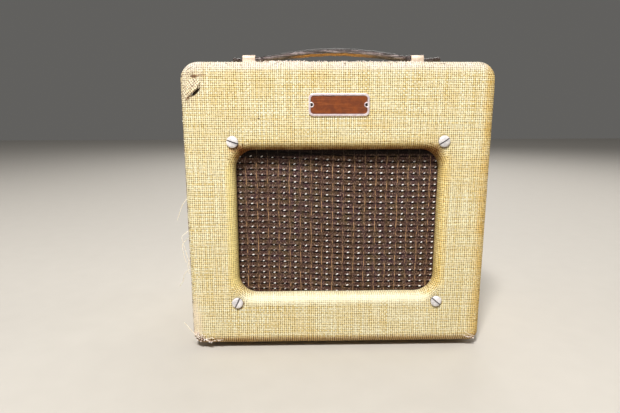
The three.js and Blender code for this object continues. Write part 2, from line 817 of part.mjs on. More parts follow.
// Chassis, a folded steel tray that opens up against the top board, with two flanges for its screws
function chassisTray() {
  const half = chassisWidth / 2;
  const inner = half - sheetThickness;
  const floor = chassisBottomZ + sheetThickness;
  const y0 = chassisFrontY;
  const y1 = chassisRearY;
  let tray = block(-half, half, y0, y1, chassisBottomZ, chassisTopZ);
  const inside = block(-inner, inner, y0 + sheetThickness, y1 - sheetThickness, floor, chassisTopZ + overrun);
  tray = tray.subtract(inside);
  for (const side of [-1, 1]) {
    const edge = side * (inner + sheetThickness / 2);
    const lip = side * (inner - chassisFlange);
    const under = chassisTopZ - sheetThickness;
    tray = tray.add(block(Math.min(edge, lip), Math.max(edge, lip), y0, y1, under, chassisTopZ));
    const screwX = side * chassisScrewX;
    const hole = chassisScrewRadius + fitGap;
    tray = tray.subtract(barZ(hole, under - overrun, chassisTopZ + overrun, screwX, chassisScrewY, smallSides));
  }
  const face = (radius, x) => barY(radius + fitGap, y1 - overrun, y1 + overrun, x, controlZ, midSides);
  for (const [, x] of jackPlaces) {
    tray = tray.subtract(face(jackBushRadius, x));
  }
  tray = tray.subtract(face(potBushRadius, knobX));
  tray = tray.subtract(face(lampBushRadius, lampX));
  tray = tray.subtract(face(grommetBushRadius, grommetX));
  for (const [, x] of tubePlaces) {
    const hole = socketBodyRadius + fitGap;
    tray = tray.subtract(barZ(hole, chassisBottomZ - overrun, floor + overrun, x, tubeY, midSides));
  }
  return tray;
}

add(cabinet, 'chassis', chassisTray(), materials.steel);

// Screws down through the top into the chassis flanges
function chassisScrew() {
  const depth = cabinetHeight - chassisTopZ + sheetThickness + overrun;
  const profile = [
    [0, fitGap + chassisScrewHeadHeight],
    [chassisScrewHeadRadius * crownRadiusShare, fitGap + chassisScrewHeadHeight * crownHeightShare],
    [chassisScrewHeadRadius, fitGap],
    [chassisScrewRadius, fitGap],
    [chassisScrewRadius, -depth],
    [0, -depth],
  ];
  return turnedZ(profile, smallSides);
}

for (const [name, x] of chassisScrewPlaces) {
  add(cabinet, `chassis_screw_${name}`, chassisScrew(), materials.nickel).position.set(x, chassisScrewY, cabinetHeight);
}

// Input jacks: a bushing and nut outside, a body inside, and the bore that takes the plug
const jackBoreRadius = 3.3;
const jackBodyRadius = 8;
const jackBodyLength = 24;
const nutRadius = 6.8;
const nutThickness = 2.4;
const bushingProud = 5;
const hexSides = 6;
const jackWall = 1.5;

function inputJack() {
  const inside = -sheetThickness - fitGap;
  const body = barY(jackBodyRadius, inside - jackBodyLength, inside, 0, 0, midSides);
  const bushing = barY(jackBushRadius, inside - jackWall, bushingProud, 0, 0, midSides);
  const nut = barY(nutRadius, fitGap, fitGap + nutThickness, 0, 0, hexSides);
  const bore = barY(jackBoreRadius, inside - jackBodyLength + jackWall, bushingProud + overrun, 0, 0, midSides);
  return body.add(bushing).add(nut).subtract(bore);
}

for (const [name, x] of jackPlaces) {
  add(cabinet, `input_jack_${name}`, inputJack(), materials.nickel).position.set(x, chassisRearY, controlZ);
}

// Volume control: the pot behind the face, its shaft, and a pointer knob
const potBodyRadius = 12;
const potBodyLength = 15;
const shaftRadius = 3.15;
const shaftClearance = 0.1;
const shaftProud = 17;
const shaftRoot = 6;
const knobLength = 15;
const knobRadius = 9;
const knobSkirtLength = 3;
const knobPointerReach = 14;
const knobPointerWidth = 7;
const knobTipWidth = 2.4;
const knobStandOff = 5.6;
const knobCrownShare = 0.86;
// The pointer rests at its stop, at seven o'clock as seen from behind
const knobRestTurn = (150 * Math.PI) / 180;

function volumePot() {
  const inside = -sheetThickness - fitGap;
  const body = barY(potBodyRadius, inside - potBodyLength, inside, 0, 0, midSides);
  const bushing = barY(potBushRadius, inside - jackWall, bushingProud, 0, 0, midSides);
  const nut = barY(nutRadius, fitGap, fitGap + nutThickness, 0, 0, hexSides);
  const bore = barY(shaftRadius + shaftClearance, inside - shaftRoot - fitGap, bushingProud + overrun, 0, 0, midSides);
  return body.add(bushing).add(nut).subtract(bore);
}

function volumeShaft() {
  return barY(shaftRadius, -sheetThickness - fitGap - shaftRoot, shaftProud, 0, 0, midSides);
}

// Pointer knob: a round skirt under a tapering bar that narrows to the pointing end
function volumeKnob() {
  const skirt = turnedY([
    [0, 0],
    [knobRadius, 0],
    [knobRadius, knobSkirtLength],
    [knobRadius * knobCrownShare, knobSkirtLength + knobStandOff / 4],
    [0, knobSkirtLength + knobStandOff / 4],
  ], midSides);
  const shape = new THREE.Shape();
  shape.moveTo(-knobTipWidth / 2, knobPointerReach);
  shape.lineTo(-knobPointerWidth / 2, -knobRadius * knobCrownShare);
  shape.lineTo(knobPointerWidth / 2, -knobRadius * knobCrownShare);
  shape.lineTo(knobTipWidth / 2, knobPointerReach);
  const pointer = slabY(shape, 0, knobLength, 0, 1);
  const boreDepth = shaftProud - knobStandOff + fitGap;
  const bore = barY(shaftRadius + shaftClearance, -overrun, boreDepth, 0, 0, midSides);
  return skirt.add(pointer).subtract(bore);
}

const control = new THREE.Group();
control.position.set(knobX, chassisRearY, controlZ);
cabinet.add(control);
add(control, 'volume_pot', volumePot(), materials.steel);
add(control, 'volume_shaft', volumeShaft(), materials.nickel);
const knob = add(control, 'volume_knob', volumeKnob(), materials.knob);
knob.position.set(0, knobStandOff, 0);
knob.rotation.y = knobRestTurn;

// Pilot lamp: a bezel and barrel through the face, and a faceted glass jewel in it
const lampBezelRadius = 9.6;
const lampBezelProud = 2;
const lampBarrelLength = 18;
const jewelRadius = 5.6;
const jewelProud = 5.5;
const jewelSeat = 3;

function lampHolder() {
  const inside = -sheetThickness - fitGap;
  const barrel = barY(lampBushRadius, inside - lampBarrelLength, lampBezelProud, 0, 0, midSides);
  const bezel = barY(lampBezelRadius, fitGap, fitGap + lampBezelProud, 0, 0, midSides);
  const bore = barY(jewelRadius + fitGap, -jewelSeat, lampBezelProud + overrun, 0, 0, midSides);
  return barrel.add(bezel).subtract(bore);
}

function pilotJewel() {
  return turnedY([
    [0, fitGap - jewelSeat],
    [jewelRadius, fitGap - jewelSeat],
    [jewelRadius, lampBezelProud],
    [jewelRadius / 2, jewelProud],
    [0, jewelProud],
  ], midSides);
}

add(cabinet, 'pilot_lamp_holder', lampHolder(), materials.nickel).position.set(lampX, chassisRearY, controlZ);
add(cabinet, 'pilot_jewel', pilotJewel(), materials.jewel).position.set(lampX, chassisRearY, controlZ);

// Cord inlet, a rubber grommet in the face
const grommetFlangeRadius = 9;
const grommetProud = 2.2;
const grommetBoreRadius = 3.6;

function cordGrommet() {
  const inside = -sheetThickness - fitGap - grommetProud;
  return turnedY([
    [grommetBoreRadius, inside],
    [grommetFlangeRadius, inside],
    [grommetFlangeRadius, -sheetThickness - fitGap],
    [grommetBushRadius, -sheetThickness - fitGap],
    [grommetBushRadius, fitGap],
    [grommetFlangeRadius, fitGap],
    [grommetFlangeRadius, fitGap + grommetProud],
    [grommetBoreRadius, fitGap + grommetProud],
    [grommetBoreRadius, inside],
  ], midSides);
}

add(cabinet, 'cord_grommet', cordGrommet(), materials.rubber).position.set(grommetX, chassisRearY, controlZ);

// Transformers: a stack of laminations with the winding through its window, hung under the chassis
const powerCoreWidth = 54;
const powerCoreDepth = 46;
const powerCoreHeight = 46;
const powerWinding = 9;
const powerWindingRound = 5;
const outputCoreWidth = 38;
const outputCoreDepth = 34;
const outputCoreHeight = 32;
const outputWinding = 7;
const outputWindingRound = 4;
const windingWindowShare = 0.64;

function transformer(width, depth, height, windingProud, windingRound) {
  const top = -fitGap;
  const stack = block(-width / 2, width / 2, -depth / 2, depth / 2, top - height, top);
  const halfWidth = (width * windingWindowShare) / 2;
  const halfHeight = (height * windingWindowShare) / 2;
  const shape = outline(halfWidth, -halfHeight, halfHeight, windingRound, windingRound);
  const y = depth / 2 + windingProud;
  const winding = slabY(shape, -y, y, windingRound / 2, 2).translate([0, 0, top - height / 2]);
  return stack.add(winding);
}

function powerTransformer() {
  return transformer(powerCoreWidth, powerCoreDepth, powerCoreHeight, powerWinding, powerWindingRound);
}

function outputTransformer() {
  return transformer(outputCoreWidth, outputCoreDepth, outputCoreHeight, outputWinding, outputWindingRound);
}

const powerTransformerX = (-chassisWidth + powerCoreWidth) / 2 + sheetThickness + fitGap;
const outputTransformerX = (chassisWidth - outputCoreWidth) / 2 - sheetThickness - fitGap;
add(cabinet, 'power_transformer', powerTransformer(), materials.iron)
  .position.set(powerTransformerX, tubeY, chassisBottomZ);
add(cabinet, 'output_transformer', outputTransformer(), materials.iron)
  .position.set(outputTransformerX, tubeY, chassisBottomZ);

// Octal sockets in the chassis floor
const socketHeight = 9;
const socketFlangeHeight = 2.2;

function octalSocket() {
  const flangeTop = -fitGap;
  return turnedZ([
    [socketKeyRadius, flangeTop - socketFlangeHeight],
    [socketFlangeRadius, flangeTop - socketFlangeHeight],
    [socketFlangeRadius, flangeTop],
    [socketBodyRadius, flangeTop],
    [socketBodyRadius, socketHeight],
    [socketKeyRadius, socketHeight],
    [socketKeyRadius, flangeTop - socketFlangeHeight],
  ], midSides);
}

// Tubes, each a glass bulb on a moulded base whose key stands up in the socket
const tubeBaseRadius = 16;
const tubeBaseHeight = 13;
const tubeGlassRadius = 14.5;
const tubeKeyLength = 9;
const tubeShoulder = 10;
const rectifierGlassLength = 50;
const powerGlassLength = 55;
const preampGlassLength = 42;
const tubeGlassLengths = {
  rectifier: rectifierGlassLength,
  power: powerGlassLength,
  preamp: preampGlassLength,
};

function vacuumTube(glassLength) {
  const top = -2 * fitGap - socketFlangeHeight;
  const base = top - tubeBaseHeight;
  const end = base - glassLength;
  const profile = [
    [0, top + tubeKeyLength],
    [socketKeyRadius - fitGap, top + tubeKeyLength],
    [socketKeyRadius - fitGap, top],
    [tubeBaseRadius, top],
    [tubeBaseRadius, base],
    [tubeGlassRadius, base],
    [tubeGlassRadius, end + tubeShoulder],
  ];
  for (let step = 1; step < edgeSteps; step += 1) {
    const angle = (Math.PI / 2) * (step / edgeSteps);
    profile.push([tubeGlassRadius * Math.cos(angle), end + tubeShoulder * (1 - Math.sin(angle))]);
  }
  profile.push([0, end]);
  return turnedZ(profile, midSides);
}

for (const [name, x] of tubePlaces) {
  add(cabinet, `socket_${name}`, octalSocket(), materials.bakelite).position.set(x, tubeY, chassisBottomZ);
  add(cabinet, `tube_${name}`, vacuumTube(tubeGlassLengths[name]), materials.glass)
    .position.set(x, tubeY, chassisBottomZ);
}

// Circuit board on four posts that stand between the sockets, and the filter capacitor beside it
const boardLength = 96;
const boardDepth = 40;
const circuitBoardThickness = 2;
const postHeight = 16;
const postRadius = 3;
const capacitorRadius = 9;
const capacitorLength = 46;

function circuitBoard() {
  const halfLength = boardLength / 2;
  const halfDepth = boardDepth / 2;
  let board = block(-halfLength, halfLength, -halfDepth, halfDepth, postHeight, postHeight + circuitBoardThickness);
  for (const x of [-1, 1]) {
    for (const y of [-1, 1]) {
      const px = (x * tubeSpacing) / 2;
      const py = y * (halfDepth - 2 * postRadius);
      board = board.add(barZ(postRadius, fitGap, postHeight + circuitBoardThickness / 2, px, py, smallSides));
    }
  }
  return board;
}

const chassisFloorZ = chassisBottomZ + sheetThickness;
const circuitBoardY = chassisFrontY + sheetThickness + fitGap + boardDepth / 2;
const capacitorX = -chassisWidth / 2 + sheetThickness + chassisFlange + capacitorLength / 2;
add(cabinet, 'circuit_board', circuitBoard(), materials.board).position.set(tubeCentreX, circuitBoardY, chassisFloorZ);
add(
  cabinet,
  'filter_capacitor',
  barX(capacitorRadius, -capacitorLength / 2, capacitorLength / 2, 0, 0, midSides),
  materials.card,
).position.set(capacitorX, tubeY, chassisFloorZ + fitGap + capacitorRadius);

// Speaker, drawn from the back of the baffle
const flangeThickness = 1.8;
const gasketWidth = 9;
const surroundSeatY = 3.6;
const basketWall = 1.6;
const spiderSeatRadius = 33;
const spiderSeatY = 31;
const backPlateRadius = 29;
const backPlateY = 36;
const coilHoleRadius = 13;
const poleRadius = 9;
const coilInnerRadius = 9.4;
const coilWall = 0.6;
const coilLength = 20;
const coilRun = 4;
const magnetRadius = 27;
const coneRimRadius = 58;
const coneRimY = 3;
const coneThickness = 0.9;
const surroundThickness = 0.7;
const surroundRoll = 1.6;
const spiderThickness = 0.7;
const spiderWave = 1.1;
const spiderWaves = 3;
const spiderWaveSteps = 4;
const windowCount = 4;
const windowShare = 0.62;
const capRiseShare = 0.33;
const capShoulderShare = 0.6;
const capShoulderRiseShare = 0.75;

const coilOuterRadius = coilInnerRadius + coilWall;
const coneNeckRadius = coilOuterRadius + fitGap;
const coneNeckY = spiderSeatY - spiderThickness - coneThickness - 2 * fitGap;
const surroundOuterRadius = speakerRadius - gasketWidth - fitGap;

// Basket turned in one piece, with a window between each two arms
function speakerFrame() {
  const seatRadius = surroundOuterRadius - basketWall * 3;
  const seatBack = surroundSeatY + basketWall;
  const body = turnedY([
    [speakerRadius - gasketWidth, fitGap],
    [speakerRadius, fitGap],
    [speakerRadius, fitGap + flangeThickness],
    [speakerRadius - gasketWidth + basketWall, fitGap + flangeThickness],
    [speakerRadius - gasketWidth + basketWall, seatBack],
    [seatRadius + basketWall, seatBack],
    [spiderSeatRadius + basketWall, spiderSeatY + basketWall],
    [backPlateRadius + basketWall, spiderSeatY + basketWall],
    [backPlateRadius + basketWall, backPlateY + basketWall],
    [coilHoleRadius, backPlateY + basketWall],
    [coilHoleRadius, backPlateY],
    [backPlateRadius, backPlateY],
    [backPlateRadius, spiderSeatY],
    [spiderSeatRadius, spiderSeatY],
    [seatRadius, surroundSeatY],
    [speakerRadius - gasketWidth, surroundSeatY],
    [speakerRadius - gasketWidth, fitGap],
  ], fineSides);
  const step = (2 * Math.PI) / windowCount;
  let frame = body;
  for (let index = 0; index < windowCount; index += 1) {
    const shape = new THREE.Shape();
    const from = index * step + (step * (1 - windowShare)) / 2;
    const to = from + step * windowShare;
    shape.absarc(0, 0, seatRadius - basketWall, from, to, false);
    shape.absarc(0, 0, spiderSeatRadius + 2 * basketWall, to, from, true);
    frame = frame.subtract(slabY(shape, surroundSeatY - overrun, spiderSeatY + overrun, 0, 1));
  }
  return frame;
}

// Magnet with its pole in the middle and the narrow gap that the voice coil works in
function speakerMagnet() {
  const front = backPlateY + basketWall + fitGap;
  const gapFloor = spiderSeatY + coilLength + coilRun;
  const gapOuter = coilOuterRadius + fitGap;
  return turnedY([
    [0, front],
    [poleRadius, front],
    [poleRadius, gapFloor],
    [gapOuter, gapFloor],
    [gapOuter, front],
    [magnetRadius, front],
    [magnetRadius, speakerDepth],
    [0, speakerDepth],
  ], fineSides);
}

// Paper cone with its dust cap
function speakerCone() {
  const capRadius = coneNeckRadius + 3 * coneThickness;
  const slope = (coneNeckY - coneRimY) / (coneRimRadius - coneNeckRadius);
  const capY = coneNeckY - slope * (capRadius - coneNeckRadius);
  const capRise = capRadius * capRiseShare;
  return turnedY([
    [0, capY - capRise],
    [capRadius * capShoulderShare, capY - capRise * capShoulderRiseShare],
    [capRadius, capY - coneThickness],
    [coneRimRadius, coneRimY - coneThickness],
    [coneRimRadius, coneRimY],
    [coneNeckRadius + coneThickness, coneNeckY + coneThickness],
    [coneNeckRadius, coneNeckY + coneThickness],
    [coneNeckRadius, capY + coneThickness],
    [capRadius * capShoulderShare, capY - capRise * capShoulderRiseShare + coneThickness],
    [0, capY - capRise + coneThickness],
  ], fineSides);
}

// Half-roll edge between the cone and the frame
function speakerSurround() {
  const inner = coneRimRadius + fitGap;
  const outer = surroundOuterRadius;
  const seat = surroundSeatY - fitGap;
  const front = [];
  const back = [];
  for (let step = 0; step <= 2 * edgeSteps; step += 1) {
    const share = step / (2 * edgeSteps);
    const radius = inner + (outer - inner) * share;
    const y = seat - surroundThickness - surroundRoll * Math.sin(Math.PI * share);
    front.push([radius, y]);
    back.push([radius, y + surroundThickness]);
  }
  const profile = [...front, ...back.reverse()];
  profile.push(profile[0]);
  return turnedY(profile, fineSides);
}

// Waved cloth ring that keeps the coil centred
function speakerSpider() {
  const inner = coilOuterRadius + fitGap;
  const outer = spiderSeatRadius - fitGap;
  const seat = spiderSeatY - fitGap;
  const steps = spiderWaves * spiderWaveSteps;
  const front = [];
  const back = [];
  for (let step = 0; step <= steps; step += 1) {
    const share = step / steps;
    const radius = inner + (outer - inner) * share;
    const y = seat + spiderWave * Math.sin(2 * Math.PI * spiderWaves * share) * Math.sin(Math.PI * share);
    front.push([radius, y - spiderThickness]);
    back.push([radius, y]);
  }
  const profile = [...front, ...back.reverse()];
  profile.push(profile[0]);
  return turnedY(profile, midSides);
}

function voiceCoil() {
  const y0 = coneNeckY;
  const y1 = spiderSeatY + coilLength;
  return turnedY([
    [coilInnerRadius, y0],
    [coilOuterRadius, y0],
    [coilOuterRadius, y1],
    [coilInnerRadius, y1],
    [coilInnerRadius, y0],
  ], midSides);
}

const speaker = new THREE.Group();
speaker.position.set(0, baffleBackY, speakerCentre);
cabinet.add(speaker);
add(speaker, 'speaker_frame', speakerFrame(), materials.steel);
add(speaker, 'speaker_magnet', speakerMagnet(), materials.iron);
add(speaker, 'speaker_cone', speakerCone(), materials.paper);
add(speaker, 'speaker_surround', speakerSurround(), materials.paper);
add(speaker, 'speaker_spider', speakerSpider(), materials.spider);
add(speaker, 'voice_coil', voiceCoil(), materials.copper);

export default group;
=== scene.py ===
import math
import random

import bmesh
import bpy
import numpy as np
from mathutils import Matrix, Vector


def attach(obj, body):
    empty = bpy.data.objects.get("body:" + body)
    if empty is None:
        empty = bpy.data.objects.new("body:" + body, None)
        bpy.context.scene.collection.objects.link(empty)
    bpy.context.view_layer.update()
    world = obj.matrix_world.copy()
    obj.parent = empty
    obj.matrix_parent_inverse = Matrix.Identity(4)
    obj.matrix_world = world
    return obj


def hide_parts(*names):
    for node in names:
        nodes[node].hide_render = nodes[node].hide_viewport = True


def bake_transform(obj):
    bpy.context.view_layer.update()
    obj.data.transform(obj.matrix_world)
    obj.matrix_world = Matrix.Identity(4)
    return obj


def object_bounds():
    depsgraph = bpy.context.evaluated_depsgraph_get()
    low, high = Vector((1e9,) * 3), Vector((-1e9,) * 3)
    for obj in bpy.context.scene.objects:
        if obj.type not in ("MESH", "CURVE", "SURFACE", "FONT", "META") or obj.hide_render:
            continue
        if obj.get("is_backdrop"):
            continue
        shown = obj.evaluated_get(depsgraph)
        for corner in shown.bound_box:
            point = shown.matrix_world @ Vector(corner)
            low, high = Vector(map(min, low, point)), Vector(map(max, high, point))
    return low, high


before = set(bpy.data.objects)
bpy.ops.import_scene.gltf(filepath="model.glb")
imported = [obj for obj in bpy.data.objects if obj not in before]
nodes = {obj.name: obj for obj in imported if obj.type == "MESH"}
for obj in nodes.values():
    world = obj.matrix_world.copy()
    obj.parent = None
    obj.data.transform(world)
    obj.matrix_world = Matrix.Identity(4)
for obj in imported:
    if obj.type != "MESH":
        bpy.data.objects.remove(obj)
cad_box = [list(corner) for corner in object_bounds()]
scene = bpy.context.scene
mm = 0.001

# The photograph's view: a wide lens a little left of the middle, at the height of the plate,
# looking slightly down at the front.
camera_place = Vector((-0.0386, -0.5814, 0.2563))
camera_yaw = math.radians(1.22)
camera_pitch = math.radians(11.8)
camera_roll = math.radians(-0.1)
lens_mm = 28.8

forward = Vector((
    math.sin(camera_yaw) * math.cos(camera_pitch),
    math.cos(camera_yaw) * math.cos(camera_pitch),
    -math.sin(camera_pitch),
))
rightward = Vector((math.cos(camera_yaw), -math.sin(camera_yaw), 0))
upward = rightward.cross(forward)
aimed = Matrix((rightward, upward, -forward)).transposed() @ Matrix.Rotation(camera_roll, 3, "Z")
camera_data = bpy.data.cameras.new("camera")
camera_data.lens = lens_mm
camera_data.sensor_width = 36
camera_data.clip_start = 0.01
camera = bpy.data.objects.new("camera", camera_data)
camera.matrix_world = Matrix.Translation(camera_place) @ aimed.to_4x4()
scene.collection.objects.link(camera)
scene.camera = camera
scene.view_settings.view_transform = "Standard"


# Studio: a plain pale floor, a broad soft light high in front, a weaker one from each side
# and an even pale surround.
def node(tree, kind, inputs=None, **settings):
    """One node of a tree. An input given as a socket is linked, and any other value is set."""
    made = tree.nodes.new(kind)
    for name, value in settings.items():
        setattr(made, name, value)
    for name, value in (inputs or {}).items():
        if isinstance(value, bpy.types.NodeSocket):
            tree.links.new(value, made.inputs[name])
        else:
            made.inputs[name].default_value = value
    return made


class Finish:
    """A material put together node by node, with its patterns laid out in metres."""

    def __init__(self, name):
        self.material = bpy.data.materials.new(name)
        self.material.use_nodes = True
        self.tree = self.material.node_tree
        self.tree.nodes.clear()

    def node(self, kind, inputs=None, **settings):
        return node(self.tree, "ShaderNode" + kind, inputs, **settings)

    def place(self, source="Object", scale=(1, 1, 1), shift=(0, 0, 0)):
        """Coordinates in metres, stretched by scale."""
        if source == "Object":
            start = self.node("TexCoord").outputs["Object"]
        else:
            start = self.node("UVMap", uv_map=source).outputs["UV"]
        inputs = {"Vector": start, "Scale": scale, "Location": shift}
        return self.node("Mapping", inputs).outputs[0]

    def axes(self, vector):
        return self.node("SeparateXYZ", {0: vector}).outputs

    def field(self, name):
        """A share stored at each point of the piece."""
        return self.node("Attribute", attribute_name=name).outputs["Fac"]

    def math(self, operation, *values):
        return self.node("Math", dict(enumerate(values)), operation=operation).outputs[0]

    def total(self, first, *others):
        for other in others:
            first = self.math("ADD", first, other)
        return first

    def product(self, first, *others):
        for other in others:
            first = self.math("MULTIPLY", first, other)
        return first

    def less(self, first, second):
        return self.math("SUBTRACT", first, second)

    def span(self, value, low, high, start=0.0, end=1.0):
        """Value between low and high, smoothly brought to start and end."""
        inputs = {"Value": value, 1: low, 2: high, 3: start, 4: end}
        return self.node("MapRange", inputs, interpolation_type="SMOOTHSTEP").outputs[0]

    def noise(self, vector, scale, detail=3.0, roughness=0.5, distortion=0.0):
        inputs = {"Vector": vector, "Scale": scale, "Detail": detail, "Roughness": roughness}
        inputs["Distortion"] = distortion
        return self.node("TexNoise", inputs).outputs[0]

    def grain(self, vector, scale, detail=3, roughness=0.6):
        """Noise with a scale of its own along each axis."""
        stretched = self.node("Mapping", {"Vector": vector, "Scale": scale}).outputs[0]
        return self.noise(stretched, 1.0, detail, roughness)

    def mix(self, share, first, second, blend="MIX"):
        """Two colours mixed. A colour in 0 to 255 steps is turned into the shader's own shares."""
        first, second = [(*srgb(*c), 1) if isinstance(c, tuple) else c for c in (first, second)]
        made = self.node("Mix", {0: share, 6: first, 7: second}, data_type="RGBA", blend_type=blend)
        return made.outputs[2]

    def two(self, value, low, high, first, second):
        """The first colour where value is low, and the second where it is high."""
        return self.mix(self.span(value, low, high), first, second)

    def stain(self, colour, stain, value, low, high, share=1.0):
        """A stain over a colour, up to its share where value is high."""
        return self.mix(self.span(value, low, high, 0, share), colour, stain)

    def bump(self, height, distance, strength=1.0):
        return self.node("Bump", {"Height": height, "Distance": distance, "Strength": strength}).outputs[0]

    def shade(self, colour, roughness, normal=None, **constants):
        """Ends the material. Constants are set on the shader's own sockets."""
        inputs = {"Base Color": colour, "Roughness": roughness}
        if normal is not None:
            inputs["Normal"] = normal
        for name, value in constants.items():
            inputs[name.replace("_", " ")] = value
        shader = self.node("BsdfPrincipled", inputs)
        self.node("OutputMaterial", {"Surface": shader.outputs[0]})
        return self.material


def srgb(red, green, blue):
    """A colour read off in 0 to 255 steps, as the linear shares that the shader takes."""
    shares = [v / 255 for v in (red, green, blue)]
    return tuple(v / 12.92 if v <= 0.04045 else ((v + 0.055) / 1.055) ** 2.4 for v in shares)


def place_mesh(name, mesh, smooth_angle):
    """An object at the origin, smooth but for its edges sharper than an angle."""
    mesh.shade_smooth()
    mesh.set_sharp_from_angle(angle=math.radians(smooth_angle))
    made = bpy.data.objects.new(name, mesh)
    scene.collection.objects.link(made)
    return made


def lay(name, points, faces, material, smooth_angle=30):
    """A mesh object with its place in its points."""
    mesh = bpy.data.meshes.new(name)
    mesh.from_pydata([tuple(p) for p in points], [], [tuple(f) for f in faces])
    mesh.materials.append(material)
    mesh.validate()
    return place_mesh(name, mesh, smooth_angle)


floor_size = 6.0
f = Finish("studio_floor")
speckle = f.noise(f.place(), 40, 4)
floor_colour = f.mix(speckle, (190, 186, 180), (197, 193, 187))
floor_material = f.shade(floor_colour, f.span(speckle, 0.2, 0.8, 0.75, 0.85))
half = floor_size / 2
corners = [(-half, -half, 0), (half, -half, 0), (half, half, 0), (-half, half, 0)]
floor = lay("studio_floor", corners, [(0, 1, 2, 3)], floor_material)
floor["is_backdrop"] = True


def soft_light(name, place, aim, width, height, watts, colour):
    data = bpy.data.lights.new(name, "AREA")
    data.shape = "RECTANGLE"
    data.size, data.size_y = width, height
    data.energy = watts
    data.color = colour
    made = bpy.data.objects.new(name, data)
    made.location = place
    made.rotation_euler = (Vector(aim) - Vector(place)).to_track_quat("-Z", "Y").to_euler()
    scene.collection.objects.link(made)


middle = (0, 0, 0.15)
soft_light("light_front", (-0.32, -1.17, 1.87), middle, 0.32, 0.26, 60, (1.0, 0.975, 0.93))
soft_light("light_left", (-1.5, 0.25, 0.9), middle, 0.9, 0.9, 3, (1.0, 0.96, 0.9))
soft_light("light_right", (1.6, 0.35, 1.1), middle, 0.9, 0.9, 7, (1.0, 0.96, 0.9))
soft_light("light_rear", (0.3, 1.6, 1.3), middle, 1.2, 0.8, 16, (1.0, 0.98, 0.95))
surround = bpy.data.worlds.new("surround")
surround.use_nodes = True
surround.node_tree.nodes["Background"].inputs["Color"].default_value = (0.86, 0.84, 0.8, 1)
surround.node_tree.nodes["Background"].inputs["Strength"].default_value = 0.14
scene.world = surround

# Boards: soft pine, 15 mm thick, finger jointed at the corners with the grain running round
# the box. The front panel is pine too, and the two cleats in the rear are strips of it.
def pine(name, long_axis, shift=0.0):
    """Pine with its grain along one axis: pale early wood, thin amber late wood, fine pores."""
    f = Finish(name)
    stretch = [38.0, 38.0, 38.0]
    stretch["xyz".index(long_axis)] = 1.6
    place = f.place(scale=tuple(stretch), shift=(shift, shift, shift))
    rings = f.node("TexWave", {
        "Vector": place, "Scale": 0.55, "Distortion": 5.0, "Detail": 3.0, "Detail Scale": 0.6,
    }, wave_type="BANDS", bands_direction="DIAGONAL").outputs["Fac"]
    pores = f.noise(f.place(scale=tuple(s * 18 for s in stretch)), 1.0, 4)
    patches = f.noise(f.place(), 9, 3)
    late = f.span(rings, 0.55, 0.95)
    colour = f.mix(late, (214, 176, 124), (181, 132, 78))
    colour = f.mix(f.span(patches, 0.3, 0.75), colour, (190, 150, 100), "MULTIPLY")
    colour = f.stain(colour, (120, 82, 46), pores, 0.55, 0.75, 0.35)
    height = f.total(f.product(late, 0.3), f.product(pores, 0.5))
    return f.shade(colour, f.span(pores, 0.3, 0.7, 0.6, 0.8), f.bump(height, 0.3 * mm, 0.5))


def paint(material, *names):
    """Gives CAD nodes a finish through their own material slots."""
    for name in names:
        for slot in nodes[name].material_slots:
            slot.material = material


pine_across = pine("pine_across", "x")
pine_upright = pine("pine_upright", "z", 3.7)
paint(pine_across, "top_board", "bottom_board", "front_panel")
paint(pine_upright, "left_board", "right_board", "rear_cleat_left", "rear_cleat_right")

# Cover: one coat of coarse cream linen in plain weave, glued over the front and all round the box,
# turned into the opening and over the rear edges. It is faded along its edges, torn at the top
# left corner and frayed at the lower corners.
cover_width, cover_height, cover_depth = 305 * mm, 290 * mm, 190 * mm
cover_front, cover_foot = -93.5 * mm, 4.8 * mm
cover_thickness = 0.8 * mm
cover_edge_round = 9 * mm
cover_lip_round = 8 * mm
cover_rear_round = 1.6 * mm
cover_tuck = 13 * mm
cover_turn_in = 13.8 * mm
tuck_inset = 17.2 * mm
top_corner, foot_corner, inner_corner = 17 * mm, 11 * mm, 1.5 * mm
opening_half = 103 * mm
opening_foot, opening_head = 54.2 * mm, 206.2 * mm
opening_corner = 20 * mm
half_corner_steps, level_steps, upright_steps = 6, 78, 70
thread_spacing, thread_wander = 2.05 * mm, 0.45
linen_light, linen_shade, linen_gap = (255, 255, 230), (234, 213, 149), (62, 32, 0)
linen_faded = (240, 226, 202)


def rounded_loop(half_width, low, high, foot_round, head_round):
    """Points of an upright rounded rectangle, from its lower left corner round by the foot and
    the right side, and the place of each along its side (0 foot, 1 right, 2 head, 3 left) as the
    cloth wraps it. A point at 45 degrees on a corner has a place on both of its sides."""
    tall = (high - low) / 2
    sides = [
        ((1, 0), (0, -1), (0, low), half_width, foot_round, foot_round),
        ((0, 1), (1, 0), (half_width, low + tall), tall, foot_round, head_round),
        ((-1, 0), (0, 1), (0, high), half_width, head_round, head_round),
        ((0, -1), (-1, 0), (-half_width, low + tall), tall, head_round, foot_round),
    ]
    points, places = [], []
    for side, (along, out, line, reach, first, last) in enumerate(sides):
        steps = level_steps if side % 2 == 0 else upright_steps
        eighth = math.pi / 4
        rows = [(first - reach, -eighth * (1 - step / half_corner_steps), first)
                for step in range(half_corner_steps)]
        run = 2 * reach - first - last
        rows += [(first - reach + run * step / steps, 0.0, 0.0) for step in range(steps + 1)]
        rows += [(reach - last, eighth * step / half_corner_steps, last)
                 for step in range(1, half_corner_steps + 1)]
        sign = 1 if side in (0, 1) else -1
        start = line[side % 2]
        for index, (run, angle, bend) in enumerate(rows):
            place = start + sign * (run + angle * bend)
            if index == len(rows) - 1:
                end_place = place
                break
            x = line[0] + along[0] * (run + bend * math.sin(angle)) - out[0] * bend * (1 - math.cos(angle))
            z = line[1] + along[1] * (run + bend * math.sin(angle)) - out[1] * bend * (1 - math.cos(angle))
            points.append((x, z))
            places.append({side: place})
            if index == 0 and side > 0:
                places[-1][side - 1] = last_end
        last_end = end_place
    places[0][3] = last_end
    return points, places


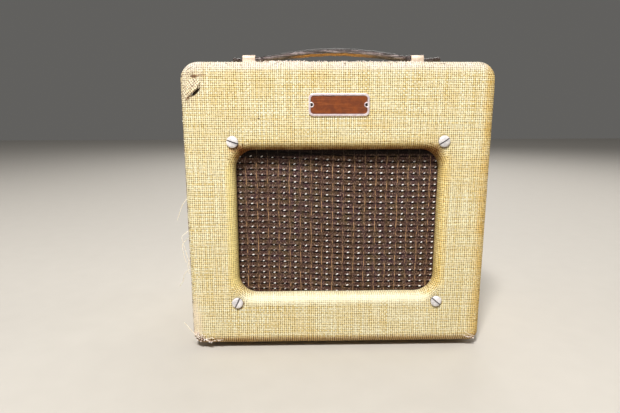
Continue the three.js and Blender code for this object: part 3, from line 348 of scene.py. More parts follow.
def cover_stations():
    """Lines round the cover, from the rear tuck to the end of the cloth in the opening, each with
    the sizes of its loop and its depth behind the front."""
    rows = []
    quarter = [share * math.pi / 2 for share in np.linspace(0, 1, 10)]

    def outer(inset, depth):
        foot_round = max(foot_corner - inset, inner_corner)
        head_round = max(top_corner - inset, inner_corner)
        sizes = (cover_width / 2 - inset, inset, cover_height - inset, foot_round, head_round)
        rows.append((sizes, depth))

    def inner(grown, depth):
        bend = opening_corner + grown
        rows.append(((opening_half + grown, opening_foot - grown, opening_head + grown, bend, bend), depth))

    for share in np.linspace(0, 1, 5):
        outer(tuck_inset, cover_depth - cover_tuck + share * (cover_tuck - cover_rear_round))
    for angle in quarter[3::3]:
        drop = cover_rear_round * (1 - math.sin(angle))
        outer(tuck_inset - cover_rear_round * (1 - math.cos(angle)), cover_depth - drop)
    for share in (0.25, 0.5, 0.75):
        outer((tuck_inset - cover_rear_round) * (1 - share) + cover_rear_round * share, cover_depth)
    for angle in quarter[::3]:
        drop = cover_rear_round * (1 - math.cos(angle))
        outer(cover_rear_round * (1 - math.sin(angle)), cover_depth - drop)
    side_run = cover_depth - cover_rear_round - cover_edge_round
    for share in np.linspace(0, 1, 38)[1:-1]:
        outer(0, cover_depth - cover_rear_round - share * side_run)
    for angle in quarter:
        outer(cover_edge_round * (1 - math.cos(angle)), cover_edge_round * (1 - math.sin(angle)))
    edge = rows[-1][0]
    lip = cover_lip_round
    bend = opening_corner + lip
    lip_start = (opening_half + lip, opening_foot - lip, opening_head + lip, bend, bend)
    for share in np.linspace(0, 1, 30)[1:-1]:
        rows.append((tuple(a + (b - a) * share for a, b in zip(edge, lip_start)), 0.0))
    for angle in quarter:
        inner(lip * (1 - math.sin(angle)), lip * (1 - math.cos(angle)))
    for share in (0.34, 0.67, 1):
        inner(0, lip + share * (cover_turn_in - lip))
    return rows


def wobble(points, scale, seed):
    """Smooth unevenness from -1 to 1 at each point, from a few crossed waves."""
    draw = random.Random(seed)
    total = np.zeros(len(points))
    for _ in range(7):
        direction = np.array([draw.gauss(0, 1) for _ in range(3)])
        reach = scale * draw.uniform(0.6, 1.7) * np.linalg.norm(direction)
        total += np.sin(points @ direction / reach * 2 * math.pi + draw.uniform(0, 6.28))
    return total / 7


stations = cover_stations()
loops = [rounded_loop(*sizes) for sizes, _ in stations]
grid = np.array([
    [(x, cover_front + depth, cover_foot + z) for x, z in points]
    for (points, _), (_, depth) in zip(loops, stations)
])
station_count, ring_count = grid.shape[:2]
flat_rows = [i for i, (_, depth) in enumerate(stations) if abs(depth) < 1e-6]
flat_start, flat_end = flat_rows[0], flat_rows[-1]
seen = grid.copy()

# Outward direction at each point, from its neighbours along and round the cover
outward = np.cross(np.roll(grid, -1, axis=1) - np.roll(grid, 1, axis=1), np.gradient(grid, axis=0))
outward /= np.maximum(np.linalg.norm(outward, axis=2, keepdims=True), 1e-12)
if outward[flat_start + 4, 10, 1] > 0:
    outward = -outward

# The cloth rides over glue lumps and the wood's edges, and is drawn down round each front screw
flat_grid = grid.reshape(-1, 3)
lift = 0.16 * wobble(flat_grid, 46 * mm, 3) + 0.12 * wobble(flat_grid, 17 * mm, 4)
lift += 0.07 * wobble(flat_grid, 6 * mm, 8) + 0.22
lift *= mm
front_screws = {
    "top_left": (-104 * mm, 219.2 * mm, 19),
    "top_right": (104 * mm, 219.2 * mm, -33),
    "bottom_left": (-104 * mm, 52.2 * mm, -64),
    "bottom_right": (104 * mm, 52.2 * mm, 40),
}
screw_pull = 0.5 * mm
for screw_x, screw_z, _ in front_screws.values():
    distance = np.hypot(flat_grid[:, 0] - screw_x, flat_grid[:, 2] - screw_z)
    at_front = flat_grid[:, 1] < cover_front + 2 * mm
    lift -= np.where(at_front, screw_pull * np.exp(-((distance / (8 * mm)) ** 2)), 0)
grid += outward * lift.reshape(station_count, ring_count, 1)

# Place of each point on the uncut cloth, in metres: the front as seen, and every side on from it
reach = np.zeros(station_count)
paces = np.linalg.norm(np.diff(grid[:, level_steps // 2], axis=0), axis=1)
for index in range(flat_start - 1, -1, -1):
    reach[index] = reach[index + 1] + paces[index]
for index in range(flat_end + 1, station_count):
    reach[index] = reach[index - 1] - paces[index - 1]


def cloth_place(station, column, side):
    if flat_start <= station <= flat_end:
        return seen[station, column, 0], seen[station, column, 2]
    half_width, low, high = stations[flat_start if station < flat_start else flat_end][0][:3]
    place, run = loops[station][1][column][side], reach[station]
    return [
        (place, cover_foot + low - run),
        (half_width + run, cover_foot + place),
        (place, cover_foot + high + run),
        (-half_width - run, cover_foot + place),
    ][side]


layer = station_count * ring_count
cover_points = np.concatenate([flat_grid, (grid - outward * cover_thickness).reshape(-1, 3)])
cover_points[:layer] = grid.reshape(-1, 3)
column_side = [max(places) if set(places) != {0, 3} else 0 for places in loops[0][1]]
cover_faces, cover_cloth = [], []


def add_cover_face(corners, side, flip):
    spots = [cloth_place(station, column, side) for _, station, column in corners]
    face = [depth * layer + station * ring_count + column for depth, station, column in corners]
    cover_faces.append(face[::-1] if flip else face)
    cover_cloth.append(spots[::-1] if flip else spots)


for column in range(ring_count):
    following, side = (column + 1) % ring_count, column_side[column]
    for station in range(station_count - 1):
        for depth in (0, 1):
            add_cover_face([
                (depth, station, column), (depth, station, following),
                (depth, station + 1, following), (depth, station + 1, column),
            ], side, depth == 1)
    for station, flip in ((0, False), (station_count - 1, True)):
        add_cover_face([
            (0, station, column), (1, station, column),
            (1, station, following), (0, station, following),
        ], side, flip)


def weave(f, cloth):
    """Plain weave over cloth coordinates: its height, the tone of each thread, how far a point is
    in the gaps, and how far in the upright gaps alone."""
    u, v, _ = f.axes(cloth)
    lines = []
    for own, scale in ((u, (150, 22, 1)), (v, (22, 150, 1))):
        drift = f.less(f.grain(cloth, scale, 2, 0.5), 0.5)
        wander = f.product(drift, thread_wander * math.pi * 2)
        shifted = f.total(f.product(own, math.pi / thread_spacing), wander)
        lines.append(f.math("SINE", shifted))
    warp, weft = (f.math("ABSOLUTE", line) for line in lines)
    over = f.math("GREATER_THAN", f.product(*lines), 0.0)
    under = f.less(1.0, over)
    warp_top = f.product(warp, f.total(f.product(weft, 0.5), 0.5))
    weft_top = f.product(weft, f.total(f.product(warp, 0.5), 0.5))
    height = f.total(f.product(over, warp_top), f.product(under, weft_top))
    warp_tone, weft_tone = (f.grain(cloth, scale, 2, 0.7) for scale in ((420, 9, 1), (9, 420, 1)))
    tone = f.total(f.product(over, warp_tone), f.product(under, weft_tone))
    upright, level = (f.span(thread, 0.7, 0.15) for thread in (warp, weft))
    gap = f.total(f.product(upright, level, 1.35), f.product(upright, 0.34), f.product(level, 0.24))
    return height, tone, gap, upright


def linen(name):
    """Cream linen over the cover's own cloth coordinates, with the fading and stains of its age, and painted
    light and shade.
    """
    f = Finish(name)
    cloth = f.place("cloth")
    height, tone, gap, upright_gap = weave(f, cloth)
    x, y, z = f.axes(f.place())
    patchy = f.noise(cloth, 60, 4, 0.7)
    pits = f.span(f.grain(cloth, (420, 420, 1)), 0.52, 0.6)
    edge, lip, loose, rim = (f.field(label) for label in ("edge", "lip", "loose", "rim"))

    def patches(low, high):
        return f.span(patchy, 0.3, 0.6, low, high)

    # Threads and the dark between them, with a warm halo at the gaps and grime in clouds
    uneven = f.grain(cloth, (330, 330, 1), 2)
    gap = f.product(gap, f.span(uneven, 0.36, 0.64, 0.45, 1.6))
    colour = f.two(tone, 0.3, 0.72, linen_shade, linen_light)
    colour = f.stain(colour, (238, 208, 138), f.noise(cloth, 24, 4, 0.6), 0.42, 0.75, 0.45)
    colour = f.stain(colour, (214, 174, 78), gap, 0.0, 0.5, 0.58)
    colour = f.mix(f.product(gap, f.span(tone, 0.35, 0.65, 1.0, 0.6)), colour, linen_gap)
    # Fading at the top left corner, with open pits in the weave, and at the left of the foot
    corner = f.span(f.product(f.span(z, 0.235, 0.275), f.span(x, -0.118, -0.14)), 0.1, 0.9)
    faded = f.product(edge, corner, patches(0.5, 1.0))
    colour = f.mix(f.product(faded, 0.6), colour, linen_faded)
    open_weave = f.total(f.product(gap, 0.9), f.product(pits, 0.5))
    colour = f.mix(f.product(faded, open_weave), colour, (104, 70, 58))
    pale = f.product(edge, f.span(x, -0.138, -0.148), f.span(z, 0.075, 0.03), patches(0.5, 0.9))
    colour = f.mix(pale, colour, (244, 228, 206))
    # The head of the front is paler, and the right side is more yellow
    head = f.product(f.span(z, 0.284, 0.291), f.span(y, -0.07, -0.08))
    colour = f.mix(f.product(head, patches(0.35, 0.6)), colour, (240, 236, 228))
    colour = f.mix(f.product(head, f.span(gap, 0.1, 0.9), 0.7), colour, (112, 88, 58))
    colour = f.mix(head, colour, (242, 240, 244), "MULTIPLY")
    right = f.product(f.span(x, 0.138, 0.146), patches(0.3, 0.7))
    colour = f.mix(right, colour, (244, 214, 140), "MULTIPLY")
    # The cloth turned into the opening is yellow at the sides. Its left side is lightened with
    # painted light where it turns from the lamp, and its foot is painted pale, a painted highlight
    # where it faces up to the lamp
    colour = f.mix(f.product(lip, f.span(z, 0.06, 0.075), 0.9), colour, (255, 240, 196), "MULTIPLY")
    painted_left_lip_light = f.product(lip, f.span(x, -0.1005, -0.1025), f.span(z, 0.062, 0.075), f.span(z, 0.2, 0.19))
    colour = f.mix(f.product(painted_left_lip_light, 0.6), colour, (255, 240, 166))
    colour = f.mix(f.product(lip, f.span(z, 0.062, 0.056), 0.6), colour, (255, 253, 228))
    in_lip = f.product(lip, f.span(z, 0.055, 0.066), f.span(gap, 0.05, 0.7))
    colour = f.mix(f.product(in_lip, 0.6), colour, (122, 84, 34))
    # Brown darkening above the opening, and three brown blots round its top left corner
    beside = f.span(f.math("ABSOLUTE", x), 0.108, 0.096)
    above = f.product(f.span(z, 0.221, 0.2105), f.span(z, 0.17, 0.2), beside)
    colour = f.mix(f.product(above, patches(0.8, 1.0)), colour, (118, 78, 42), "MULTIPLY")
    for blot_x, blot_z, size in ((-0.1045, 0.2125, 0.0045), (-0.0965, 0.2125, 0.005), (-0.1, 0.2045, 0.003)):
        squares = [f.math("POWER", f.less(p, q), 2) for p, q in ((x, blot_x), (z, blot_z))]
        away = f.math("SQRT", f.total(*squares))
        ragged = f.total(f.product(away, 1 / size), f.product(f.less(patchy, 0.5), 1.5))
        colour = f.mix(f.span(ragged, 1.1, 0.3, 0, 0.5), colour, (226, 168, 108), "MULTIPLY")
    # Painted shade in the hollow under the torn flap with a brown rim, a worn hole above it with a
    # crease, a small dark mark, the scuffed lower left corner, and a painted shadow below and to the
    # right of each front screw. Each has its place, its two reaches, its lean, its depth and its colour.
    spots = [
        (-0.1372, 0.2665, 0.0085, 0.0019, 0.73, 0.97, (34, 16, 6)),
        (-0.1448, 0.2612, 0.0045, 0.0016, 0.73, 0.7, (120, 82, 50)),
        (-0.1385, 0.2812, 0.0042, 0.002, -0.1, 0.8, (96, 58, 34)),
        (-0.1335, 0.2822, 0.0075, 0.0008, 0.05, 0.5, (150, 100, 62)),
        (-0.0777, 0.2415, 0.0011, 0.0009, 0.0, 0.8, (70, 40, 24)),
        (-0.1455, 0.0125, 0.009, 0.0045, -0.5, 0.8, (104, 62, 50)),
    ]
    # Painted shadow of each front screw's head, which the head hides but for a crescent at its lower right
    spots += [
        (screw_x + 1.5 * mm, screw_z - 2.2 * mm, 6.2 * mm, 6.2 * mm, 0.0, 0.8, (92, 48, 34))
        for screw_x, screw_z, _ in front_screws.values()
    ]
    front = f.product(f.span(y, -0.088, -0.0895), f.less(1.0, loose))
    for spot_x, spot_z, reach_x, reach_z, lean, deep, shade in spots:
        across, upward = f.less(x, spot_x), f.less(z, spot_z)
        along = f.total(f.product(across, math.cos(lean)), f.product(upward, math.sin(lean)))
        beside = f.total(f.product(upward, math.cos(lean)), f.product(across, -math.sin(lean)))
        pairs = ((along, reach_x), (beside, reach_z))
        away = f.math("SQRT", f.total(*[f.math("POWER", f.product(p, 1 / q), 2) for p, q in pairs]))
        ragged = f.total(away, f.product(f.less(patchy, 0.5), 1.2), f.product(pits, 0.2))
        colour = f.mix(f.product(front, f.span(ragged, 1.0, 0.6, 0, deep)), colour, shade)
    # The foot is darker, and the cloth is worn to brown down the left edge, in the gaps along the
    # foot and in specks along every edge
    foot = f.span(z, 0.0175, 0.0095)
    colour = f.mix(f.product(foot, f.span(y, -0.06, -0.085, 0.5, 1)), colour, (218, 196, 170), "MULTIPLY")
    side = f.product(f.span(x, -0.1503, -0.1517), f.span(y, -0.0822, -0.0862))
    streaks = f.grain(cloth, (240, 120, 1), 3, 0.65)
    bare = f.span(f.total(side, f.product(streaks, 1.6)), 1.72, 1.84, 0, 0.85)
    colour = f.mix(bare, colour, (92, 52, 40))
    low = f.span(f.total(z, f.product(f.less(streaks, 0.5), -0.012)), 0.0155, 0.0105)
    teeth = f.product(low, f.span(y, -0.08, -0.085), f.span(upright_gap, 0.1, 0.45), 0.95)
    specks = f.grain(cloth, (260, 260, 1))
    worn = f.total(f.product(rim, f.span(specks, 0.56, 0.64), 0.85), teeth)
    colour = f.mix(worn, colour, (70, 34, 26))
    bump = f.bump(f.total(height, f.product(tone, 0.35)), 0.45 * mm, 0.75)
    return f.shade(colour, f.span(height, 0, 1, 0.97, 0.86), bump, Specular_IOR_Level=0.2)


def fix(piece, slot, *replaced, body="cabinet"):
    """Sets what a piece rides on and hides the nodes that it stands for. Its slot is not used."""
    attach(piece, body)
    if replaced:
        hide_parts(*replaced)
    return piece


def store(piece, label, values):
    """Keeps a value for each point of a piece, for its finish to read."""
    made = piece.data.attributes.new(label, "FLOAT", "POINT")
    made.data.foreach_set("value", np.array(values, np.float32).ravel())


linen_material = linen("cream_linen")
cover = lay("linen_cover_cloth", cover_points, cover_faces, linen_material, 180)
cloth_map = cover.data.uv_layers.new(name="cloth")
cloth_map.data.foreach_set("uv", np.array(cover_cloth, float).ravel())
edge_share, rim_share, lip_share = np.zeros((3, station_count, ring_count))
faded_at, faded_reach, rim_at = 6 * mm, 16 * mm, 4.5 * mm
lip_rows = 5
for station, (sizes, depth) in enumerate(stations):
    if depth < cover_depth - cover_tuck and station <= flat_end:
        from_edge = max(0.0, cover_edge_round - depth) + (0 if depth > 0 else sizes[1] - cover_edge_round)
        edge_share[station] = max(0.0, 1 - abs(from_edge - faded_at) / faded_reach)
        rim_share[station] = max(0.0, 1 - abs(depth - rim_at) / rim_at) if depth > 0 else 0.0
    if station >= flat_end - 1:
        lip_share[station] = min(1.0, (station - flat_end + 2) / lip_rows)
for label, share in (("edge", edge_share), ("rim", rim_share), ("lip", lip_share)):
    store(cover, label, [share, share])
fix(cover, "linen", "linen_cover")

# Wear of the cover: a torn flap that stands off the front at the top left corner, loose threads
# that hang off the left edge, and fray along the worn edges. All of it is the same linen.
class Rule:
    """A Geometry Nodes tree put together node by node, with named inputs for its sizes."""

    def __init__(self, name, **inputs):
        self.tree = bpy.data.node_groups.new(name, "GeometryNodeTree")
        self.face = self.tree.interface
        self.face.new_socket("Geometry", in_out="INPUT", socket_type="NodeSocketGeometry")
        self.face.new_socket("Geometry", in_out="OUTPUT", socket_type="NodeSocketGeometry")
        for label, value in inputs.items():
            kind = "NodeSocketFloat" if isinstance(value, float) else "NodeSocketMaterial"
            made = self.face.new_socket(label, in_out="INPUT", socket_type=kind)
            made.default_value = value
        self.inputs = node(self.tree, "NodeGroupInput").outputs

    def node(self, kind, inputs=None, **settings):
        """The first output of a geometry node."""
        return node(self.tree, "GeometryNode" + kind, inputs, **settings).outputs[0]

    def math(self, operation, *values):
        return node(self.tree, "ShaderNodeMath", dict(enumerate(values)), operation=operation).outputs[0]

    def product(self, first, second):
        return self.math("MULTIPLY", first, second)

    def vector(self, x=0.0, y=0.0, z=0.0):
        return node(self.tree, "ShaderNodeCombineXYZ", {0: x, 1: y, 2: z}).outputs[0]

    def vector_math(self, operation, inputs):
        return node(self.tree, "ShaderNodeVectorMath", inputs, operation=operation).outputs[0]

    def stored(self, name, kind="FLOAT"):
        return self.node("InputNamedAttribute", {"Name": name}, data_type=kind)

    def turned(self, way, turn):
        """A rotation that brings Z round to way, and then turns by itself."""
        facing = node(self.tree, "FunctionNodeAlignRotationToVector", {"Vector": way}, axis="Z").outputs[0]
        inputs = {"Rotation": facing, "Rotate By": turn}
        return node(self.tree, "FunctionNodeRotateRotation", inputs, rotation_space="LOCAL").outputs[0]

    def any(self, low, high, seed):
        """A random value for each item, the same at every run."""
        kind = "FLOAT_VECTOR" if isinstance(low, tuple) else "FLOAT"
        made = node(self.tree, "FunctionNodeRandomValue", {"Seed": seed}, data_type=kind)
        sockets = [s for s in made.inputs if s.enabled and s.name in ("Min", "Max")]
        for socket, value in zip(sockets, (low, high)):
            if isinstance(value, bpy.types.NodeSocket):
                self.tree.links.new(value, socket)
            else:
                socket.default_value = value
        return next(s for s in made.outputs if s.enabled)

    def curve(self, pace, smooth=False):
        """The base's edges as curves, with points at an even pace."""
        line = self.node("MeshToCurve", {0: self.inputs["Geometry"]})
        if smooth:
            line = self.node("CurveSplineType", {0: line}, spline_type="CATMULL_ROM")
        return self.node("ResampleCurve", {"Curve": line, "Length": self.inputs[pace]}, mode="LENGTH")

    def circle(self, size, steps):
        return self.node("CurvePrimitiveCircle", {"Resolution": steps, "Radius": self.inputs[size]})

    def sweep(self, path, section):
        """Ends the tree with a section drawn along a path."""
        self.end(self.node("CurveToMesh", {0: path, 1: section, "Fill Caps": True}))

    def scatter(self, shape, offset=None, **inputs):
        """Ends the tree with a copy of a shape at each point of the base."""
        points = self.node("MeshToPoints", {0: self.inputs["Geometry"]})
        if offset is not None:
            points = self.node("SetPosition", {0: points, "Offset": offset})
        self.end(self.node("InstanceOnPoints", {"Points": points, "Instance": shape, **inputs}))

    def end(self, geometry):
        real = self.node("RealizeInstances", {0: geometry})
        finished = self.node("SetMaterial", {0: real, "Material": self.inputs["Finish"]})
        node(self.tree, "NodeGroupOutput", {0: finished})

    def make(self, name, base, **values):
        """Runs the tree on a base mesh and keeps what it makes as a plain mesh."""
        modifier = base.modifiers.new("rule", "NODES")
        modifier.node_group = self.tree
        for item in self.face.items_tree:
            if item.in_out == "INPUT" and item.name in values:
                modifier[item.identifier] = values[item.name]
        graph = bpy.context.evaluated_depsgraph_get()
        mesh = bpy.data.meshes.new_from_object(base.evaluated_get(graph), depsgraph=graph)
        base.modifiers.remove(modifier)
        bpy.data.objects.remove(base)
        mesh.name = name
        return place_mesh(name, mesh, 40)


def skeleton(points, edges=(), **attributes):
    """A base of points and edges for a tree to work on, with a value for each point."""
    mesh = bpy.data.meshes.new("base")
    mesh.from_pydata([tuple(p) for p in points], [tuple(e) for e in edges], [])
    for label, values in attributes.items():
        vector = hasattr(values[0], "__len__")
        stored = mesh.attributes.new(label, "FLOAT_VECTOR" if vector else "FLOAT", "POINT")
        stored.data.foreach_set("vector" if vector else "value", np.array(values, np.float32).ravel())
    made = bpy.data.objects.new("base", mesh)
    scene.collection.objects.link(made)
    return made


def lines(paths, **attributes):
    """A base of several open lines."""
    points, edges = [], []
    for path in paths:
        start = len(points)
        points += path
        edges += [(start + i, start + i + 1) for i in range(len(path) - 1)]
    return skeleton(points, edges, **attributes)


thread_rule = r = Rule("threads", Radius=0.3 * mm, Pace=1.2 * mm, Kink=0.5 * mm, Finish=linen_material)
noise = node(r.tree, "ShaderNodeTexNoise", {"Scale": 260.0, "Detail": 2.0}).outputs[1]
centred = r.vector_math("SUBTRACT", {0: noise, 1: (0.5, 0.5, 0.5)})
kink = r.vector_math("SCALE", {0: centred, 3: r.inputs["Kink"]})
kinked = r.node("SetPosition", {0: r.curve("Pace", True), "Offset": kink})
r.sweep(kinked, r.circle("Radius", 5))


def fibre(name, scale, low, high, dark, light):
    """Pale linen fibre, loose from the cloth."""
    f = Finish(name)
    hairs = f.noise(f.place(), scale, 3)
    colour = f.two(hairs, low, high, dark, light)
    return f.shade(colour, f.span(hairs, 0.2, 0.8, 0.85, 0.95), f.bump(hairs, 0.1 * mm))


thread_material = fibre("loose_linen_thread", 900, 0.35, 0.65, (240, 222, 192), (255, 251, 240))
lint_material = fibre("linen_lint_fibre", 700, 0.35, 0.6, (214, 188, 166), (255, 250, 246))
thread_paths_mm = [
    [(-151.6, -84, 163), (-155.5, -85, 158), (-158.6, -86, 152.6), (-161, -86, 146), (-163.5, -86, 139.3)],
    [(-151.8, -82, 128), (-156.5, -84, 125), (-160, -85, 121), (-158.4, -85.5, 113), (-156.3, -86, 105.5),
     (-154.2, -86, 97), (-153.3, -85.5, 87)],
    [(-152, -78, 120), (-156.5, -80, 117), (-160.2, -83, 112.6), (-159.6, -84, 103), (-157, -84.5, 93.5)],
    [(-152.2, -80, 79), (-152.6, -84, 84.5), (-154.6, -86, 86.2), (-157.2, -86, 84), (-160.2, -85, 79.2),
     (-161.6, -84, 73), (-165.2, -83, 67.8)],
    [(-152.4, -70, 96), (-156, -74, 93), (-157.6, -76, 86), (-156.4, -76, 78)],
    [(-146, -94.2, 13), (-151.2, -93.6, 19), (-156, -93, 24.6), (-160.8, -92.6, 30.4)],
    [(-130, -93.9, 12), (-133, -94.2, 13), (-136, -94.2, 12.2), (-139, -94, 13.2)],
    [(136, -94.6, 17.8), (140.5, -95.6, 15), (145.6, -94.6, 12.8), (148.4, -91, 11)],
    [(-139.2, -92.6, 290.6), (-143.6, -93, 288.5), (-147.2, -92, 284), (-149.6, -90.4, 279)],
]


def threads(name, paths_mm, slot, finish, **sizes):
    """Threads or wires along lines of points in mm."""
    base = lines([[Vector(p) * mm for p in path] for path in paths_mm])
    return fix(thread_rule.make(name, base, Finish=finish, **sizes), slot)


loose_threads = threads(
    "linen_loose_threads", thread_paths_mm, "linen", thread_material, Radius=0.3 * mm, Kink=1.0 * mm)

# Fray: short broken fibres along the worn lines, each bent its own way
fray_rule = r = Rule(
    "fray", Spacing=2.6 * mm, Shortest=1.2 * mm, Longest=4.2 * mm, Radius=0.17 * mm, Finish=linen_material)
strand = r.node("CurveQuadraticBezier", {
    "Resolution": 4, "Start": (0.0, 0.0, 0.0), "Middle": (0.25, 0.1, 0.55), "End": (0.6, -0.05, 0.85),
})
bend = r.any((-0.9, -0.9, -3.1), (0.9, 0.9, 3.1), 7)
hairs = r.node("InstanceOnPoints", {
    "Points": r.curve("Spacing"), "Instance": strand,
    "Rotation": r.turned(r.stored("way", "FLOAT_VECTOR"), bend),
    "Scale": r.any(r.inputs["Shortest"], r.inputs["Longest"], 5),
})
r.sweep(r.node("RealizeInstances", {0: hairs}), r.circle("Radius", 4))

# Each worn line has its points in mm, the way its fibres stand, and how often it is gone over
tear_line_mm = [(-132.8, 276), (-134, 273), (-135.9, 270.2), (-139.4, 267), (-143, 264), (-146.6, 261)]
fray_lines = [([(x, -93.9, z) for x, z in tear_line_mm], (-0.4, -0.8, 0.5), 3)]
lint_lines = [
    ([(-150.6 + 2.4 * i, -91.4 - 0.3 * i, 18.5 - 1.4 * i) for i in range(8)], (-0.4, -0.8, -0.3), 12),
    ([(136 + 1.6 * i, -93.4, 12.5 - 0.3 * i) for i in range(7)], (0.3, -0.9, -0.3), 5),
    ([(-137 + 3 * i, -92.8, 10 + math.sin(5 * i)) for i in range(6)], (0, -0.9, 0), 2),
    ([(-151.7, -88, z) for z in range(24, 282, 3)], (-0.7, -0.7, 0), 1),
    ([(x, -87.5, 293.6) for x in range(-134, -92, 2)], (0, -0.5, 0.85), 2),
    ([(x, -83 + 3 * math.sin(x), 294.6) for x in range(-72, -30, 2)], (0.3, -0.35, 0.9), 12),
    ([(x, -84 + 3 * math.sin(x), 294.3) for x in range(-92, 86, 2)], (0.3, -0.5, 0.6), 6),
]
lump_lines = [
    ([(-150.2, -89.8, 17), (-148.8, -91.2, 13.8), (-146, -92.2, 12), (-142.5, -92.9, 11),
      (-137.5, -93.2, 11)], (-0.3, -0.9, 0.1), 2),
    ([(-148.4, -92.2, 17), (-146, -93, 14.8), (-143.4, -93.4, 13.8)], (-0.2, -0.9, 0.2), 2),
    ([(-149.8, -89.4, 12.6), (-148, -90.6, 10.2), (-145, -91.2, 9)], (-0.4, -0.9, -0.2), 2),
    ([(-147.2, -93, 19.6), (-144.4, -93.5, 17.6), (-140.6, -93.7, 16)], (-0.1, -0.9, 0.2), 1),
]


def fringe(name, worn_lines, finish, **sizes):
    """Fibres all along some worn lines, each pass set off a little from the last."""
    paths, ways, laid = [], [], 0
    for path, way, repeats in worn_lines:
        for _ in range(repeats):
            shift = 0.35 * (laid % 5)
            paths.append([Vector((x + shift, y, z - 0.4 * shift)) * mm for x, y, z in path])
            ways += [way] * len(path)
            laid += len(path)
    return fix(fray_rule.make(name, lines(paths, way=ways), Finish=finish, **sizes), "linen")


fray = fringe("linen_fray", fray_lines, thread_material)
lint = fringe(
    "linen_lint", lint_lines, lint_material,
    Spacing=1.9 * mm, Shortest=0.7 * mm, Longest=2.1 * mm, Radius=0.27 * mm)
lumps = fringe(
    "linen_corner_lint", lump_lines, lint_material,
    Spacing=2.3 * mm, Shortest=1.0 * mm, Longest=2.2 * mm, Radius=0.62 * mm)

# The flap: its torn edge stands off the front, and its other sides run into the cloth
flap_reach, flap_rise, flap_steps = 11 * mm, 2.1 * mm, 10
flap_above, flap_below, flap_tuck = 0.35 * mm, 0.25 * mm, 0.5 * mm


def slab_faces(across, along):
    """Faces of a thin closed sheet: a grid of points in front, the same behind, and its rim."""
    width = across + 1
    count = width * (along + 1)
    faces = []
    for row in range(along):
        for column in range(across):
            a = row * width + column
            b = a + width
            faces += [(a, a + 1, b + 1, b), (count + a, count + b, count + b + 1, count + a + 1)]
    rim = list(range(across)) + [row * width + across for row in range(along)]
    rim += [count - 1 - column for column in range(across)] + [(along - row) * width for row in range(along)]
    return faces + [(b, a, count + a, count + b) for a, b in zip(rim, rim[1:] + rim[:1])]


def front_depth(x):
    """Depth of the cover's face behind its front plane near the left edge."""
    over = min(max(0.0, abs(x) - (cover_width / 2 - cover_edge_round)), cover_edge_round)
    return cover_edge_round - math.sqrt(max(cover_edge_round ** 2 - over ** 2, 0))


def outwards(piece):
    """Turns every face of a closed mesh to the outside."""
    work = bmesh.new()
    work.from_mesh(piece.data)
    bmesh.ops.recalc_face_normals(work, faces=work.faces)
    work.to_mesh(piece.data)
    work.free()
    return piece


flap_edge = [Vector((x, 0, z)) * mm for x, z in tear_line_mm]
flap_top, flap_under = [], []
for i in range(flap_steps + 1):
    down = i / flap_steps
    run = down * (len(flap_edge) - 1)
    first = min(int(run), len(flap_edge) - 2)
    foot = flap_edge[first].lerp(flap_edge[first + 1], run - first)
    ragged = 0.7 * mm * math.sin(9.1 * i) * math.sin(math.pi * down)
    for j in range(flap_steps + 1):
        share = j / flap_steps
        away = ragged * (1 - share) + flap_reach * share * math.sin(math.pi * (0.18 + 0.64 * down))
        x, z = foot.x - 0.74 * away, foot.z + 0.67 * away
        curl = (1 - share) ** 2 * math.sin(math.pi * min(1, down + 0.08))
        stand = flap_rise * curl + flap_above * (1 - share)
        y = cover_front + front_depth(x) - stand + (flap_tuck if share == 1 else 0)
        flap_top.append(Vector((x, y - flap_above, z)))
        flap_under.append(Vector((x, y + flap_below, z)))
flap_faces = slab_faces(flap_steps, flap_steps)
flap = outwards(lay("linen_torn_flap", flap_top + flap_under, flap_faces, linen_material, 60))
flap_map = flap.data.uv_layers.new(name="cloth")
for loop in flap.data.loops:
    p = flap.data.vertices[loop.vertex_index].co
    flap_map.data[loop.index].uv = (0.8 * p.x + 0.6 * p.z, 0.8 * p.z - 0.6 * p.x)
for label in ("edge", "loose"):
    store(flap, label, [1.0] * len(flap.data.vertices))
fix(flap, "linen")

# Baffle board: 10 mm plywood with the speaker hole, its dark cloth stretched over the front.
# The cloth is a loose brown weave with tan upright threads and a raised pale knot in each cell,
# over a dark float of thread, painted near black at each knot as the shade of its recess.
baffle_half, baffle_low, baffle_high = 118 * mm, 30.2 * mm, 241.2 * mm
grille_front, grille_back = -79.4 * mm, -78.4 * mm
knot_column, knot_row = 11.08 * mm, 6.1 * mm
knot_start_x, knot_start_z = 0.9 * mm, 202.4 * mm
# The cloth was pulled a little askew: its rows run down towards the right, then level
lean_from, lean_to, row_rise, row_fall = -84 * mm, 39 * mm, 1.0 * mm, 4.6 * mm
# Painted shadow: the strip of cloth under the head of the opening is painted black above this height, as the
# shadow of the opening's lip
shadow_foot, shadow_full = 201.5 * mm, 204.5 * mm


def plywood(name, shift=0.0):
    """Birch plywood: pale faces with long grain, darker glue lines showing on its edges."""
    f = Finish(name)
    along, across, ply = 4.0, 150.0, 2.0 * mm
    grain = f.noise(f.place(scale=(along, across, across), shift=(shift,) * 3), 1.0, 5, 0.65, 0.6)
    fine = f.noise(f.place(scale=(along * 7, across * 7, across * 7)), 1.0, 3, 0.7)
    colour = f.two(grain, 0.3, 0.7, (206, 172, 122), (172, 132, 84))
    colour = f.stain(colour, (110, 76, 44), fine, 0.52, 0.68, 0.55)
    plies = f.math("SINE", f.product(f.axes(f.place())[1], 2 * math.pi / ply))
    facing = f.axes(f.node("NewGeometry").outputs["True Normal"])[1]
    edges = f.math("LESS_THAN", f.math("ABSOLUTE", facing), 0.5)
    colour = f.mix(f.product(edges, f.span(plies, -0.3, 0.5, 0, 0.7)), colour, (112, 74, 42))
    return f.shade(colour, f.span(fine, 0.3, 0.7, 0.62, 0.8), f.bump(f.total(grain, fine), 0.15 * mm, 0.5))


paint(plywood("baffle_ply"), "baffle_board")

